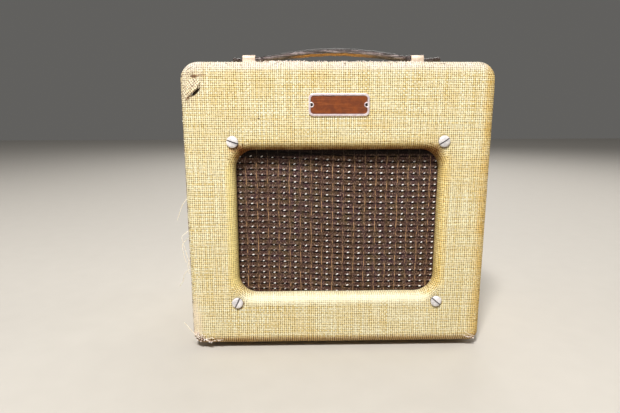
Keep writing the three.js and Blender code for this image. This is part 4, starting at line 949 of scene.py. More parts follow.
f = Finish("brown_grille_cloth")
place = f.place()
x, y, z = f.axes(place)
strands = f.grain(place, (760, 1, 520), 3, 0.7)
cross = f.grain(place, (420, 1, 900), 3, 0.7)
ground = f.two(f.grain(place, (160, 1, 90)), 0.36, 0.66, (72, 48, 55), (84, 68, 44))
ground = f.stain(ground, (70, 44, 30), f.noise(place, 18, 3), 0.35, 0.65, 0.6)
ground = f.stain(ground, (184, 156, 138), strands, 0.5, 0.7, 0.75)
ground = f.stain(ground, (22, 14, 12), cross, 0.5, 0.72, 0.95)
cell_x = f.math("PINGPONG", f.total(x, 100 * knot_column - knot_start_x), knot_column / 2)
lean = f.span(x, lean_from, lean_to, -row_rise, row_fall)
row_start = 100 * knot_row - knot_start_z + 1.6 * mm
cell_z = f.math("FRACT", f.product(f.total(z, lean, row_start), 1 / knot_row))
# Near-black dash at the float row of each knot: the dark float of thread, and painted shade in the recess
# under the knot
float_and_shade_row = f.math("ABSOLUTE", f.less(cell_z, 0.06))
dash = f.product(f.span(cell_x, 3.8 * mm, 2.9 * mm), f.span(float_and_shade_row, 0.2, 0.13))
ridge = f.span(f.math("ABSOLUTE", f.less(cell_z, 0.42)), 0.18, 0.06)
ground = f.mix(f.product(ridge, f.span(strands, 0.42, 0.6), 0.55), ground, (150, 124, 112))
ground = f.stain(ground, (14, 8, 9), float_and_shade_row, 0.2, 0.08, 0.45)
colour = f.mix(f.product(dash, 0.98), ground, (6, 3, 4))
# Painted shadow of the opening's lip across the top of the cloth, leaning with its rows
level = f.total(z, f.product(lean, -0.35))
colour = f.stain(colour, (10, 6, 6), level, shadow_foot, shadow_full, 0.88)
bump = f.bump(f.total(strands, f.product(cross, -0.8), f.product(dash, -1.2)), 0.7 * mm, 0.9)
grille_material = f.shade(colour, f.span(strands, 0.3, 0.7, 0.95, 0.8), bump, Specular_IOR_Level=0.15)

grille_columns, grille_rows = 60, 56
grille_points = []
for depth in (grille_front, grille_back):
    for pz in np.linspace(baffle_low, baffle_high, grille_rows + 1):
        for px in np.linspace(-baffle_half, baffle_half, grille_columns + 1):
            sag = 0.25 * mm * math.sin(px / (31 * mm)) * math.sin(pz / (23 * mm))
            grille_points.append((px, depth + (sag if depth == grille_front else 0), pz))
grille_faces = slab_faces(grille_columns, grille_rows)
grille = outwards(lay("grille_cloth_weave", grille_points, grille_faces, grille_material, 60))
fix(grille, "grille", "grille_cloth")

# Knots and upright threads of the grille cloth
f = Finish("pale_grille_knot")
place = f.place()
shine = f.noise(place, 700, 2)
# Painted light: the knots turn brown towards the left and in patches, where their highlights are dimmer
lit = f.total(f.noise(place, 60, 3, 0.7), f.product(f.axes(place)[0], 1.2))
colour = f.two(shine, 0.3, 0.5, (206, 196, 192), (255, 254, 255))
colour = f.mix(f.span(lit, 0.34, 0.5, 0.6, 0), colour, (112, 92, 80))
knot_material = f.shade(colour, f.span(shine, 0.3, 0.7, 0.5, 0.3), Specular_IOR_Level=0.6)
f = Finish("tan_grille_thread")
place = f.place()
twist = f.grain(place, (700, 700, 170), 3, 0.7)
colour = f.two(twist, 0.44, 0.57, (72, 50, 42), (208, 164, 120))
# The same painted shadow darkens the tan threads under the head of the opening
colour = f.stain(colour, (10, 6, 6), f.axes(place)[2], shadow_foot, shadow_full, 0.9)
rib_material = f.shade(colour, f.span(twist, 0.3, 0.7, 0.9, 0.75), f.bump(twist, 0.2 * mm))

knot_rule = r = Rule(
    "knots", Length=2.5 * mm, Height=1.2 * mm, Proud=1.1 * mm, Tilt=-0.35, Finish=knot_material)
bead = r.node("MeshUVSphere", {"Segments": 8, "Rings": 5, "Radius": 0.5})
bead_size = r.vector(r.inputs["Length"], r.inputs["Proud"], r.inputs["Height"])
bead = r.node("Transform", {0: bead, "Scale": bead_size})
tilt = r.math("ADD", r.inputs["Tilt"], r.any(-0.3, 0.3, 3))
jitter = r.any((-0.3 * mm, 0.0, -0.2 * mm), (0.3 * mm, 0.15 * mm, 0.2 * mm), 11)
r.scatter(bead, jitter, Rotation=r.vector(0.0, tilt, 0.0), Scale=r.any(0.75, 1.1, 9))
top_row, rib_steps, rib_pace = 203.4 * mm, 25, 8.5 * mm
knot_places, rib_paths = [], []
for column in range(-int(baffle_half / knot_column) + 1, int(baffle_half / knot_column)):
    kx = knot_start_x + column * knot_column
    lean_share = min(max((kx - lean_from) / (lean_to - lean_from), 0), 1)
    fall = lean_share * (row_rise + row_fall) - row_rise
    kz = knot_start_z - fall + 0.2 * mm * math.sin(column * 2.3)
    if kz + knot_row < top_row:
        kz += knot_row
    while kz > baffle_low + knot_row:
        knot_places.append((kx, grille_front - 0.3 * mm, kz + 0.2 * mm))
        kz -= knot_row
    rib_paths.append([
        (kx + knot_column / 2 + 0.4 * mm * math.sin(step * 1.7 + column), grille_front - 0.22 * mm,
         baffle_low + 2 * mm + step * rib_pace)
        for step in range(rib_steps)
    ])
knots = knot_rule.make("grille_cloth_knots", skeleton(knot_places), Finish=knot_material)
ribs = thread_rule.make(
    "grille_cloth_ribs", lines(rib_paths), Radius=0.28 * mm, Pace=3 * mm, Kink=0.7 * mm, Finish=rib_material)
fix(knots, "grille")
fix(ribs, "grille")

# Front screws: four nickel-plated round-head screws with straight slots, which pull the baffle up
# to the panel. The plating is scratched and flecked with rust, and the floor of each slot and the
# foot of each head are darkened as painted shade.
screw_rule = r = Rule(
    "slotted_screw", Head=5.5 * mm, Height=3 * mm, Crown=0.45, Shank=2.1 * mm, Length=33 * mm,
    Slot=1.1 * mm, Depth=1.5 * mm, Finish=linen_material)
high, long, wide = r.inputs["Height"], r.inputs["Length"], r.inputs["Head"]
head = r.node("MeshCylinder", {
    "Vertices": 40, "Side Segments": 1, "Fill Segments": 7, "Radius": wide, "Depth": high})
x, y, z = node(r.tree, "ShaderNodeSeparateXYZ", {0: r.node("InputPosition")}).outputs
radius = r.math("DIVIDE", r.math("SQRT", r.math("ADD", r.product(x, x), r.product(y, y))), wide)
bow = r.math("SQRT", r.math("MAXIMUM", r.math("SUBTRACT", 1.0, r.product(radius, radius)), 0.0))
rise = r.product(r.math("SUBTRACT", 1.0, r.inputs["Crown"]), r.math("SUBTRACT", bow, 1.0))
domed = r.product(r.product(rise, r.math("GREATER_THAN", z, 0.0)), high)
offset = r.math("ADD", domed, r.product(high, 0.5))
head = r.node("SetPosition", {0: head, "Offset": r.vector(0.0, 0.0, offset)})
cutter = r.node("MeshCube", {"Size": r.vector(r.product(wide, 3.0), r.inputs["Slot"], high)})
slot_middle = r.math("SUBTRACT", r.product(high, 1.5), r.inputs["Depth"])
cutter = r.node("Transform", {0: cutter, "Translation": r.vector(0.0, 0.0, slot_middle)})
head = r.node("MeshBoolean", {"Mesh 1": head, "Mesh 2": cutter}, operation="DIFFERENCE")
shank = r.node("MeshCylinder", {"Vertices": 16, "Radius": r.inputs["Shank"], "Depth": long})
down = r.math("SUBTRACT", 0.02 * mm, r.product(long, 0.5))
shank = r.node("Transform", {0: shank, "Translation": r.vector(0.0, 0.0, down)})
whole = r.node("JoinGeometry")
for part in (head, shank):
    r.tree.links.new(part, whole.node.inputs[0])
r.scatter(whole, Rotation=r.turned(r.stored("way", "FLOAT_VECTOR"), r.vector(0.0, 0.0, r.stored("turn"))))


def screws(name, places, way, turns, finish, **sizes_mm):
    """Screws of one kind, their heads facing one way, each slot turned as it was left. Their sizes
    are in mm, and Crown is the share of the head's height that its rim keeps."""
    base = skeleton(places, way=[way] * len(places), turn=[math.radians(t) for t in turns])
    sizes = {label: size if label == "Crown" else size * mm for label, size in sizes_mm.items()}
    return screw_rule.make(name, base, Finish=finish, **sizes)


def named(start):
    """The CAD nodes of a set, by the start of their names."""
    return [name for name in nodes if name.startswith(start)]


def nickel(name, worn=0.5, tone=(222, 218, 216), shine=1.0, shade_depths=None):
    """Old nickel plate over steel: fine scratches, cloudy patches, brown rust in small spots.
    Where shade_depths gives two depths, the plate is darkened as painted shade from the first to the second
    and on behind it."""
    f = Finish(name)
    place = f.place()
    cloud = f.noise(place, 160, 4, 0.6)
    spots = f.noise(place, 420, 4, 0.75)
    colour = f.two(cloud, 0.35, 0.65, tone, tuple(int(v * 0.82) for v in tone))
    colour = f.stain(colour, (104, 66, 38), spots, 0.66 - 0.12 * worn, 0.74, 0.85)
    if shade_depths:
        # Painted shade in the slot and at the foot of the head
        colour = f.stain(colour, (72, 62, 66), f.axes(place)[1], *shade_depths, 0.8)
    roughness = f.total(f.span(cloud, 0.3, 0.7, 0.2, 0.36), f.span(spots, 0.55, 0.7, 0, 0.35))
    roughness = f.total(roughness, 0.4 * (1 - shine))
    scratched = f.total(f.product(f.grain(place, (300, 2600, 900)), 0.25), spots)
    metal = f.span(spots, 0.6, 0.72, shine, 0.25 * shine)
    return f.shade(colour, roughness, f.bump(scratched, 0.08 * mm, 0.5), Metallic=metal)


nickel_material = nickel("aged_nickel")
# Painted reflection: the handle loops' nickel is tinted warm pink, as a reflection of a warm surround
warm_reflection_nickel = nickel("warm_reflection_nickel", 0.3, (255, 232, 214), 0.35)
face = cover_front - 0.12 * mm
# Behind these depths the front screws are darkened as painted shade, in their slots and at the foot of their
# heads
slot_depths = (face - 1.1 * mm, face - 0.8 * mm)
frosted_nickel = nickel("frosted_nickel", 0.35, (255, 252, 255), 0.3, slot_depths)
front_set = screws(
    "baffle_screws", [(x, face, z) for x, z, _ in front_screws.values()], (0, -1, 0),
    [-turn for _, _, turn in front_screws.values()], frosted_nickel, Head=5.7, Slot=1.4, Depth=2.3)
fix(front_set, "nickel", *named("baffle_screw"))

# Name plate, left bare: a pressed metal plate with a bright raised border, red-brown enamel in
# its sunk field, and a ring round each pin at its two ends.
plate_half, plate_tall, plate_centre, plate_corner = 29.5 * mm, 10.75 * mm, 254.5 * mm, 4.6 * mm
plate_back, plate_pin_inset = -93.75 * mm, 2.75 * mm
# Each ring of the plate's profile is inset from its outline and stands proud of the cloth, in mm
plate_profile_mm = [
    (0.9, 0), (0, 0), (0, 0.85), (0.12, 1.2), (0.4, 1.4), (0.75, 1.45), (1.2, 1.42),
    (1.9, 1.3), (2.05, 0.95), (2.35, 0.86), (3.4, 0.84),
]


def ringed(outlines, turned_ends=(False, False)):
    """Points and faces of a closed body whose sections are rings with as many points each."""
    count = len(outlines[0])
    last = (len(outlines) - 1) * count
    faces = []
    for start in range(0, last, count):
        for i in range(count):
            k = (i + 1) % count
            faces.append((start + i, start + k, start + count + k, start + count + i))
    for start, is_turned in zip((0, last), turned_ends):
        end = tuple(range(start, start + count))
        faces.append(end[::-1] if is_turned else end)
    return [point for outline in outlines for point in outline], faces


rings = []
for inset, proud in plate_profile_mm:
    bend = plate_corner - 0.6 * inset * mm
    shape, _ = rounded_loop(plate_half - inset * mm, inset * mm, 2 * plate_tall - inset * mm, bend, bend)
    rings.append([(px, plate_back - proud * mm, plate_centre - plate_tall + pz) for px, pz in shape])

f = Finish("plate_enamel")
place = f.place()
streaks = f.grain(place, (60, 60, 700))
blots = f.noise(place, 150, 4, 0.7)
colour = f.two(blots, 0.35, 0.65, (138, 72, 34), (112, 54, 26))
colour = f.stain(colour, (166, 94, 52), streaks, 0.52, 0.68, 0.5)
x, _, z = f.axes(place)
beside = f.less(plate_half, f.math("ABSOLUTE", x))
below = f.less(plate_tall, f.math("ABSOLUTE", f.less(z, plate_centre)))
# The field darkens next to the raised border, as grime and as the painted shade of the border
grime_and_shade = f.total(f.math("MINIMUM", beside, below), f.product(blots, -1.2 * mm))
colour = f.stain(colour, (66, 32, 18), grime_and_shade, 2.6 * mm, 1.4 * mm, 0.75)
bump = f.bump(f.total(streaks, blots), 0.06 * mm, 0.4)
enamel_material = f.shade(colour, f.span(blots, 0.3, 0.7, 0.28, 0.45), bump, Coat_Weight=0.3)
f = Finish("plate_border")
cloud = f.noise(f.place(), 260, 4, 0.65)
colour = f.two(cloud, 0.35, 0.65, (255, 244, 246), (222, 204, 212))
border_material = f.shade(
    colour, f.span(cloud, 0.3, 0.7, 0.3, 0.5), f.bump(cloud, 0.08 * mm, 0.5), Metallic=0.45)
plate = outwards(lay("name_plate_blank", *ringed(rings, (True, False)), border_material, 35))
plate.data.materials.append(enamel_material)
field_start = (len(rings) - 3) * len(rings[0])
for polygon in plate.data.polygons:
    if polygon.index >= field_start and polygon.center.y < plate_back - 0.5 * mm:
        polygon.material_index = 1
fix(plate, "enamel", "name_plate")

ring_rule = r = Rule("boss", Radius=2.05 * mm, Wire=0.55 * mm, Finish=border_material)
boss = r.node("CurveToMesh", {0: r.circle("Radius", 28), 1: r.circle("Wire", 10)})
r.scatter(boss, Rotation=r.vector(math.pi / 2, 0.0, 0.0))
pin_x, pin_y = plate_half - plate_pin_inset, plate_back - 0.95 * mm
ring_base = skeleton([(side * pin_x, pin_y, plate_centre) for side in (-1, 1)])
fix(ring_rule.make("name_plate_bosses", ring_base, Finish=border_material), "nickel")
# Painted shade: the pin heads are near black, as the shade of the holes that they sit in
f = Finish("dark_pin")
specks = f.noise(f.place(), 600, 3)
pin_material = f.shade(
    f.mix(specks, (40, 22, 14), (16, 10, 8)), f.span(specks, 0.3, 0.7, 0.6, 0.8), Metallic=0.1)
pins = screws(
    "name_plate_pins", [(side * pin_x, pin_y + 0.15 * mm, plate_centre) for side in (-1, 1)], (0, -1, 0),
    [0, 0], pin_material, Head=1.7, Height=0.5, Crown=0.2, Shank=0.8, Length=7, Slot=0.2, Depth=-1)
fix(pins, "iron")

# Feet: four domed glides of nickel-plated steel, one near each corner, driven into the bottom
# board on their own nails.
glides = screws(
    "foot_glides", [(x * mm, y * mm, 4.5 * mm) for x in (-126.5, 126.5) for y in (-69.5, 72.5)], (0, 0, -1),
    [0] * 4, nickel_material, Head=10, Height=4.5, Crown=0.25, Shank=1.3, Length=11, Slot=0.2, Depth=-1)
fix(glides, "nickel", *named("foot_glide"))

# Handle loops: nickel strip bent into two bridges over the strap, each held by two screws
# through its flanges into the top board.
top_face, strap_y, loop_x = 294.8 * mm, 1.5 * mm, 94 * mm
strip_wide, strip_thick = 14 * mm, 1.6 * mm
bridge_half, bridge_high, flange_reach, loop_screw_y = 9.8 * mm, 12.4 * mm, 21.6 * mm, 16.1 * mm
strip_rule = r = Rule("bent_strip", Wide=strip_wide, Thick=strip_thick, Bend=3 * mm, Finish=nickel_material)
path = r.node("FilletCurve", {
    "Curve": r.node("MeshToCurve", {0: r.inputs["Geometry"]}), "Count": 6,
    "Radius": r.inputs["Bend"], "Limit Radius": True,
}, mode="POLY")
section = r.node("CurvePrimitiveQuadrilateral", {"Width": r.inputs["Wide"], "Height": r.inputs["Thick"]})
r.sweep(path, r.node("FilletCurve", {"Curve": section, "Count": 3, "Radius": 0.35 * mm}, mode="POLY"))
seat, roof = top_face + 0.35 * mm + strip_thick / 2, bridge_high - strip_thick / 2
half_outline = [(-flange_reach, 0), (-bridge_half, 0), (-bridge_half, roof)]
outline_yz = half_outline + [(-y, z) for y, z in half_outline[::-1]]
bridges = lines([[(s * loop_x, strap_y + y, seat + z) for y, z in outline_yz] for s in (-1, 1)])
handle_loops = outwards(strip_rule.make("handle_loops", bridges, Bend=2.6 * mm, Finish=warm_reflection_nickel))
fix(handle_loops, "nickel", *named("handle_loop"))
loop_screws = screws(
    "handle_loop_screws",
    [(x * loop_x, strap_y + y * loop_screw_y, top_face + 2.2 * mm) for x in (-1, 1) for y in (-1, 1)],
    (0, 0, 1), [25, 70, -40, 10], nickel_material,
    Head=3.2, Height=1.8, Crown=0.3, Shank=1.6, Length=13, Slot=0.8, Depth=0.8)
fix(loop_screws, "nickel", *named("loop_screw"))

# Strap: one thick strip of dark grained leather, tan on its flesh side, narrowed where it runs
# through the loops and full width past them, so that it slides and lifts in them.
strap_left, strap_right, strap_high, strap_low = -111.5, 119.5, 11, 6.4
strap_wide, strap_neck, strap_thick, arch_thick = 12.5, 8.5, 2.5, 0.8
shoulder_x, shoulder_rise, shoulder_reach = 84.5, 1.7, 2.4
section_steps, strap_stations = 28, 801
strap_shares = [
    (-1, 0.17), (-0.85, 0.1), (-0.63, 0.37), (-0.31, 0.81), (0.06, 1),
    (0.39, 0.75), (0.67, 0.36), (0.85, 0.1), (1, 0.26),
]
line_points = [
    np.array([share * (strap_right if share > 0 else -strap_left), strap_low + strap_high * up])
    for share, up in strap_shares
]


def strap_point(run):
    """A point of the strap's middle line at run, counted in spans between its chosen points."""
    index = min(int(run), len(line_points) - 2)
    t = run - index
    a, b, c, d = [line_points[min(max(index + k, 0), len(line_points) - 1)] for k in (-1, 0, 1, 2)]
    square, cube = 2 * a - 5 * b + 4 * c - d, 3 * b - a - 3 * c + d
    return 0.5 * (2 * b + (c - a) * t + square * t * t + cube * t ** 3)


def strap_half_width(x):
    """Half the strap's width along its length: full, necked through a loop, full at the stop."""
    end = strap_right if x > 0 else -strap_left
    inner = min(max((82 - abs(x)) / 6, 0), 1)
    stop = min(max((abs(x) - (end - 7)) / 0.9, 0), 1)
    tip = min(max((end - abs(x)) / 5, 0), 1)
    share = max(inner, stop)
    share = share * share * (3 - 2 * share)
    return (strap_neck + (strap_wide - strap_neck) * share) * (0.8 + 0.2 * math.sqrt(tip))


strap_line = np.array([strap_point(run) for run in np.linspace(0, len(line_points) - 1, strap_stations)])


def strap_section(station):
    """Points round the strap at one station: flat faces, rounded edges, a slight hollow below."""
    here = strap_line[station]
    x = here[0]
    along = strap_line[min(station + 1, len(strap_line) - 1)] - strap_line[max(station - 1, 0)]
    along /= np.linalg.norm(along)
    up = np.array([-along[1], along[0]])
    half_width, half_thick = strap_half_width(x), strap_thick + arch_thick * max(0, 1 - (x / 80) ** 2)
    half_thick *= 1 + 0.05 * math.sin(x * 0.31) + 0.04 * math.sin(x * 0.83)
    shoulder = shoulder_rise * math.exp(-(((abs(x) - shoulder_x) / shoulder_reach) ** 2))
    ring, under = [], []
    for k in range(section_steps):
        angle = 2 * math.pi * k / section_steps
        across = math.copysign(abs(math.cos(angle)) ** 0.32, math.cos(angle))
        rise = math.copysign(abs(math.sin(angle)) ** 0.55, math.sin(angle))
        worn = 1 - 0.012 * math.sin(x * 1.7 + k)
        crown = 0.35 * (1 - across * across) * (1 if rise > 0 else -0.4)
        along_x, high = here + up * (rise * half_thick * worn + crown + shoulder * max(rise, 0))
        aside = across * half_width * worn
        ring.append((along_x * mm, strap_y + aside * mm, top_face + high * mm))
        under.append(1.0 if rise < -0.72 else 0.0)
    return ring, under


def leather(name):
    """Dark grained leather with grey edges streaked dark along its layers, the grey a painted sheen, and tan
    flesh on the under side.
    """
    f = Finish(name)
    place = f.place()
    cells = f.node("TexVoronoi", {"Vector": place, "Scale": 900.0}, feature="DISTANCE_TO_EDGE").outputs[0]
    creases = f.grain(place, (700, 120, 200), 4, 0.7)
    tone_and_sheen = f.noise(place, 120, 4, 0.7)
    layers = f.grain(place, (34, 260, 640), 4, 0.7)
    # Painted sheen: the edges are grey with dark streaks, and faces turned up keep the leather's near black
    dark = f.two(tone_and_sheen, 0.4, 0.7, (118, 104, 108), (176, 164, 170))
    dark = f.stain(dark, (30, 20, 20), layers, 0.56, 0.46, 0.9)
    dark = f.stain(dark, (44, 32, 32), creases, 0.55, 0.7, 0.7)
    above = f.span(f.axes(f.node("NewGeometry").outputs["Normal"])[2], 0.3, 0.6)
    dark = f.mix(above, dark, (26, 18, 16))
    x = f.axes(place)[0]
    ends = f.span(f.math("ABSOLUTE", x), 0.085, 0.098)
    dark = f.mix(f.product(ends, 0.8), dark, (48, 34, 30))
    tan = f.two(tone_and_sheen, 0.38, 0.62, (208, 158, 94), (152, 104, 58))
    tan = f.stain(tan, (84, 50, 30), creases, 0.5, 0.7, 0.5)
    under = f.field("under")
    flesh = f.product(under, f.span(x, -0.052, -0.036), f.span(x, 0.052, 0.026))
    bump = f.bump(f.total(f.span(cells, 0.0, 0.25), f.product(creases, 1.2)), 0.25 * mm, 0.7)
    return f.shade(f.mix(flesh, dark, tan), f.span(under, 0, 1, 0.42, 0.85), bump, Specular_IOR_Level=0.5)


leather_material = leather("strap_leather")
middle_station = int(np.argmin(np.abs(strap_line[:, 0])))
for side, sign, first, last, replaced in (
    ("left", -1, 0, middle_station, ["strap_side_left", "strap_middle"]),
    ("right", 1, middle_station, len(strap_line) - 1, ["strap_side_right"]),
):
    picked = sorted({*range(first, last + 1, 4), last})
    sections = [strap_section(station) for station in picked]
    points, faces = ringed([ring for ring, _ in sections], (False, True))
    half_strap = outwards(lay(f"strap_{side}_half", points, faces, leather_material, 50))
    store(half_strap, "under", [share for _, under in sections for share in under])
    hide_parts(*replaced)
    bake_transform(half_strap)

# Lower rear panel: 6 mm birch plywood, left bare, held to its two cleats by four screws. The
# nuts of the front screws stand on the back of the baffle board before it.
def coated(name, light, dark, fleck, patch=60, grain=900, rough=(0.35, 0.6), depth=0.08, **constants):
    """A painted, plated or moulded skin: cloudy patches, fine grain, and small flecks of wear."""
    f = Finish(name)
    place = f.place()
    cloud = f.noise(place, patch, 4, 0.6)
    specks = f.noise(place, patch * 5, 4, 0.75)
    colour = f.stain(f.two(cloud, 0.35, 0.65, light, dark), fleck, specks, 0.6, 0.74, 0.6)
    gloss = f.total(f.span(cloud, 0.3, 0.7, *rough), f.span(specks, 0.58, 0.72, 0, 0.15))
    height = f.total(f.noise(place, grain, 3, 0.6), f.product(specks, 0.6))
    return f.shade(colour, gloss, f.bump(height, depth * mm, 0.6), **constants)


def turned(name, places, axis, parts, materials, smooth_angle=35, flute=None):
    """Bodies turned round an axis: each part is a profile of (radius, along) in mm, its number of
    steps round, and its material. A profile that starts and ends on the axis is solid, and any
    other one is a ring. Flute presses notches into points outside a radius: (count, radius, mm)."""
    way = Vector(axis)
    side = Vector((0, 0, 1)) if abs(way.z) < 0.5 else Vector((1, 0, 0))
    across = way.cross(side)
    points, faces, kinds = [], [], []
    for place in places:
        for profile, steps, kind in parts:
            rows = []
            for radius, along in profile:
                rows.append(len(points))
                for k in range(1 if radius == 0 else steps):
                    angle = 2 * math.pi * (k + 0.5) / steps
                    reach = radius
                    if flute and radius > flute[1] and math.cos(angle * flute[0]) < -0.2:
                        reach -= flute[2]
                    spoke = side * math.cos(angle) + across * math.sin(angle)
                    points.append(Vector(place) + (way * along + spoke * reach) * mm)
            solid = profile[0][0] == 0
            for i, j in zip(range(len(rows)), [*range(1, len(rows))] + ([] if solid else [0])):
                a, b = rows[i], rows[j]
                for k in range(steps):
                    m = (k + 1) % steps
                    if profile[i][0] == 0:
                        faces.append((a, b + m, b + k))
                    elif profile[j][0] == 0:
                        faces.append((a + k, a + m, b))
                    else:
                        faces.append((a + k, a + m, b + m, b + k))
                    kinds.append(kind)
    made = lay(name, points, faces, materials[0], smooth_angle)
    for material in materials[1:]:
        made.data.materials.append(material)
    made.data.polygons.foreach_set("material_index", kinds)
    return outwards(made)


paint(plywood("panel_ply", 1.9), "rear_panel")
panel_face, panel_screw_places = 93.7 * mm, [(x * mm, z * mm) for x in (-129.3, 129.3) for z in (40.3, 136.3)]
panel_screws = screws(
    "rear_panel_screws", [(x, panel_face, z) for x, z in panel_screw_places], (0, 1, 0),
    [15, 80, -35, 50], nickel_material,
    Head=3.6, Height=1.6, Crown=0.3, Shank=1.7, Length=14, Slot=0.8, Depth=0.7)
fix(panel_screws, "nickel", *named("rear_panel_screw"))
baffle_back = -68.1 * mm
nut_places = [(x, baffle_back + 0.4 * mm, z) for x, z, _ in front_screws.values()]
baffle_nuts = turned("baffle_nuts", nut_places, (0, 1, 0), [
    ([(2.3, 0), (6, 0), (6, 0.7), (2.3, 0.7)], 32, 0),
    ([(2.3, 0.75), (4.6, 0.75), (4.9, 1.1), (4.9, 3.2), (4.6, 3.6), (2.3, 3.6)], 6, 0),
], [nickel_material], 25)
fix(baffle_nuts, "nickel")

# Chassis: a tray of folded zinc-plated steel, its rear face the control panel, with a printed
# dial round the volume control. Two screws through the top board hold its flanges.
chassis_screw_x, tube_y, chassis_under = 101.4 * mm, 33.5, 230.4
f = Finish("zinc_sheet")
place = f.place()
spangle = f.axes(f.node("TexVoronoi", {"Vector": place, "Scale": 260.0}).outputs["Color"])[0]
brushed = f.grain(place, (30, 900, 900))
tarnish = f.noise(place, 34, 4, 0.7)
colour = f.mix(f.span(spangle, 0.1, 0.9, 0, 0.5), (196, 196, 192), (168, 169, 168))
colour = f.stain(colour, (146, 134, 112), tarnish, 0.5, 0.72, 0.55)
steel_material = f.shade(
    colour, f.total(f.span(spangle, 0, 1, 0.34, 0.44), f.span(tarnish, 0.45, 0.7, 0, 0.2)),
    f.bump(f.total(brushed, f.product(spangle, 0.3)), 0.05 * mm, 0.4), Metallic=0.9)
paint(steel_material, "chassis")
chassis_screws = screws(
    "chassis_screws", [(s * chassis_screw_x, tube_y * mm, top_face + 0.35 * mm) for s in (-1, 1)], (0, 0, 1),
    [20, 65], nickel_material, Head=4.5, Height=2.1, Crown=0.3, Shank=2, Length=23, Slot=1, Depth=0.9)
fix(chassis_screws, "nickel", *named("chassis_screw"))

face_y, control_z, knob_x = 72.5 * mm, 254.4 * mm, 8 * mm
dial_ink = coated("dial_ink", (34, 30, 30), (22, 20, 20), (92, 88, 84), 160, rough=(0.5, 0.7), depth=0.03)
dial_numbers, dial_radius, dial_start, dial_pace, number_tall = 11, 19.6 * mm, 210, 30, 5.2 * mm
tick_radius, tick_wide, tick_long, ink_thick = 15.2 * mm, 0.5 * mm, 1.6 * mm, 0.08 * mm
facing_rear = Matrix(((-1, 0, 0), (0, 0, 1), (0, 1, 0))).to_4x4()
marks = bmesh.new()
for index in range(dial_numbers):
    angle = math.radians(dial_start + dial_pace * index)
    text = bpy.data.curves.new("number", "FONT")
    text.body, text.size, text.extrude, text.offset = str(index), number_tall, 0.05 * mm, 0.1 * mm
    text.align_x, text.align_y, text.resolution_u = "CENTER", "CENTER", 3
    holder = bpy.data.objects.new("number", text)
    scene.collection.objects.link(holder)
    graph = bpy.context.evaluated_depsgraph_get()
    shape = bpy.data.meshes.new_from_object(holder.evaluated_get(graph), depsgraph=graph)
    number_x, number_z = knob_x - dial_radius * math.sin(angle), control_z + dial_radius * math.cos(angle)
    shape.transform(Matrix.Translation((number_x, face_y + 0.03 * mm, number_z)) @ facing_rear)
    marks.from_mesh(shape)
    bpy.data.objects.remove(holder)
    bmesh.ops.create_cube(marks, size=1, matrix=(
        Matrix.Translation((knob_x, face_y + 0.05 * mm, control_z)) @ Matrix.Rotation(-angle, 4, "Y")
        @ Matrix.Translation((0, 0, tick_radius)) @ Matrix.Diagonal((tick_wide, ink_thick, tick_long, 1))))
bmesh.ops.remove_doubles(marks, verts=marks.verts, dist=1e-7)
bmesh.ops.recalc_face_normals(marks, faces=marks.faces)
dial_mesh = bpy.data.meshes.new("dial_numbers")
marks.to_mesh(dial_mesh)
dial_mesh.materials.append(dial_ink)
dial = bpy.data.objects.new("dial_numbers", dial_mesh)
scene.collection.objects.link(dial)
fix(dial, "enamel")

# Controls on the rear face: two input jacks, the volume pot with its pointer knob, the pilot
# lamp with its red jewel, and the rubber grommet of the cord inlet.
brown_bakelite = coated(
    "brown_bakelite", (62, 36, 26), (40, 24, 19), (96, 64, 46), 90, rough=(0.25, 0.4), depth=0.04,
    Coat_Weight=0.2)
black_bakelite = coated(
    "black_bakelite", (30, 27, 26), (18, 16, 16), (70, 62, 56), 90, rough=(0.3, 0.45), depth=0.04)
clean_nickel = nickel("clean_nickel", 0.2, (214, 211, 204))


def on_face(name, x_places_mm, parts, materials, smooth_angle, flute=None, out=0.0):
    """Turned bodies whose axis runs out through the control panel."""
    places = [(x * mm, face_y + out, control_z) for x in x_places_mm]
    return turned(name, places, (0, 1, 0), parts, materials, smooth_angle, flute)


thread_turns = [(4.7 - 0.25 * (k % 2), 2.5 + 0.22 * k) for k in range(10)]
collar = ([(3.3, -1.8), (4.45, -1.8)] + thread_turns + [(4.4, 5), (3.7, 5), (3.3, 4.6)], 32, 0)
washer = ([(4.8, 0.35), (7.4, 0.35), (7.4, 0.85), (4.8, 0.85)], 36, 0)
hexagon = ([(4.8, 0.9), (6.2, 0.9), (6.8, 1.3), (6.8, 2.3), (6.2, 2.7), (4.8, 2.7)], 6, 0)
shell = ([(3.3, -25.4), (7.6, -25.4), (8, -25), (8, -1.9), (7.6, -1.5), (3.3, -1.5)], 32, 1)
cap = ([(0, -25.5), (3.2, -25.5), (3.2, -24.2), (0, -24.2)], 24, 1)
jack_parts = [collar, washer, hexagon, shell, cap]
jacks = on_face("input_jacks", (78, 51), jack_parts, [clean_nickel, black_bakelite], 30)
fix(jacks, "nickel", "input_jack_1", "input_jack_2")
can = ([
    (0, -16.8), (9, -16.8), (9.4, -16.4), (11.4, -16.4), (12, -15.8), (12, -2.6), (11.4, -1.6), (3.4, -1.6),
    (3.4, -7.6), (0, -7.6),
], 48, 0)
pot = on_face("volume_pot_can", [8], [can, collar, washer, hexagon], [clean_nickel], 30)
fix(pot, "steel", "volume_pot")
paint(clean_nickel, "volume_shaft")
bezel = ([
    (5.9, -19.8), (7.2, -19.8), (7.6, -19.4), (7.6, 0.3), (9.5, 0.3), (9.6, 0.9), (9.2, 1.6), (8.2, 2.1),
    (7, 2.3), (6.2, 2.2), (5.9, 1.8),
], 72, 0)
bezel = on_face("pilot_lamp_bezel", [-34], [bezel], [clean_nickel], 30, (24, 9.15, 0.45))
fix(bezel, "nickel", "pilot_lamp_holder")
f = Finish("red_jewel")
clouds = f.noise(f.place(), 240, 3)
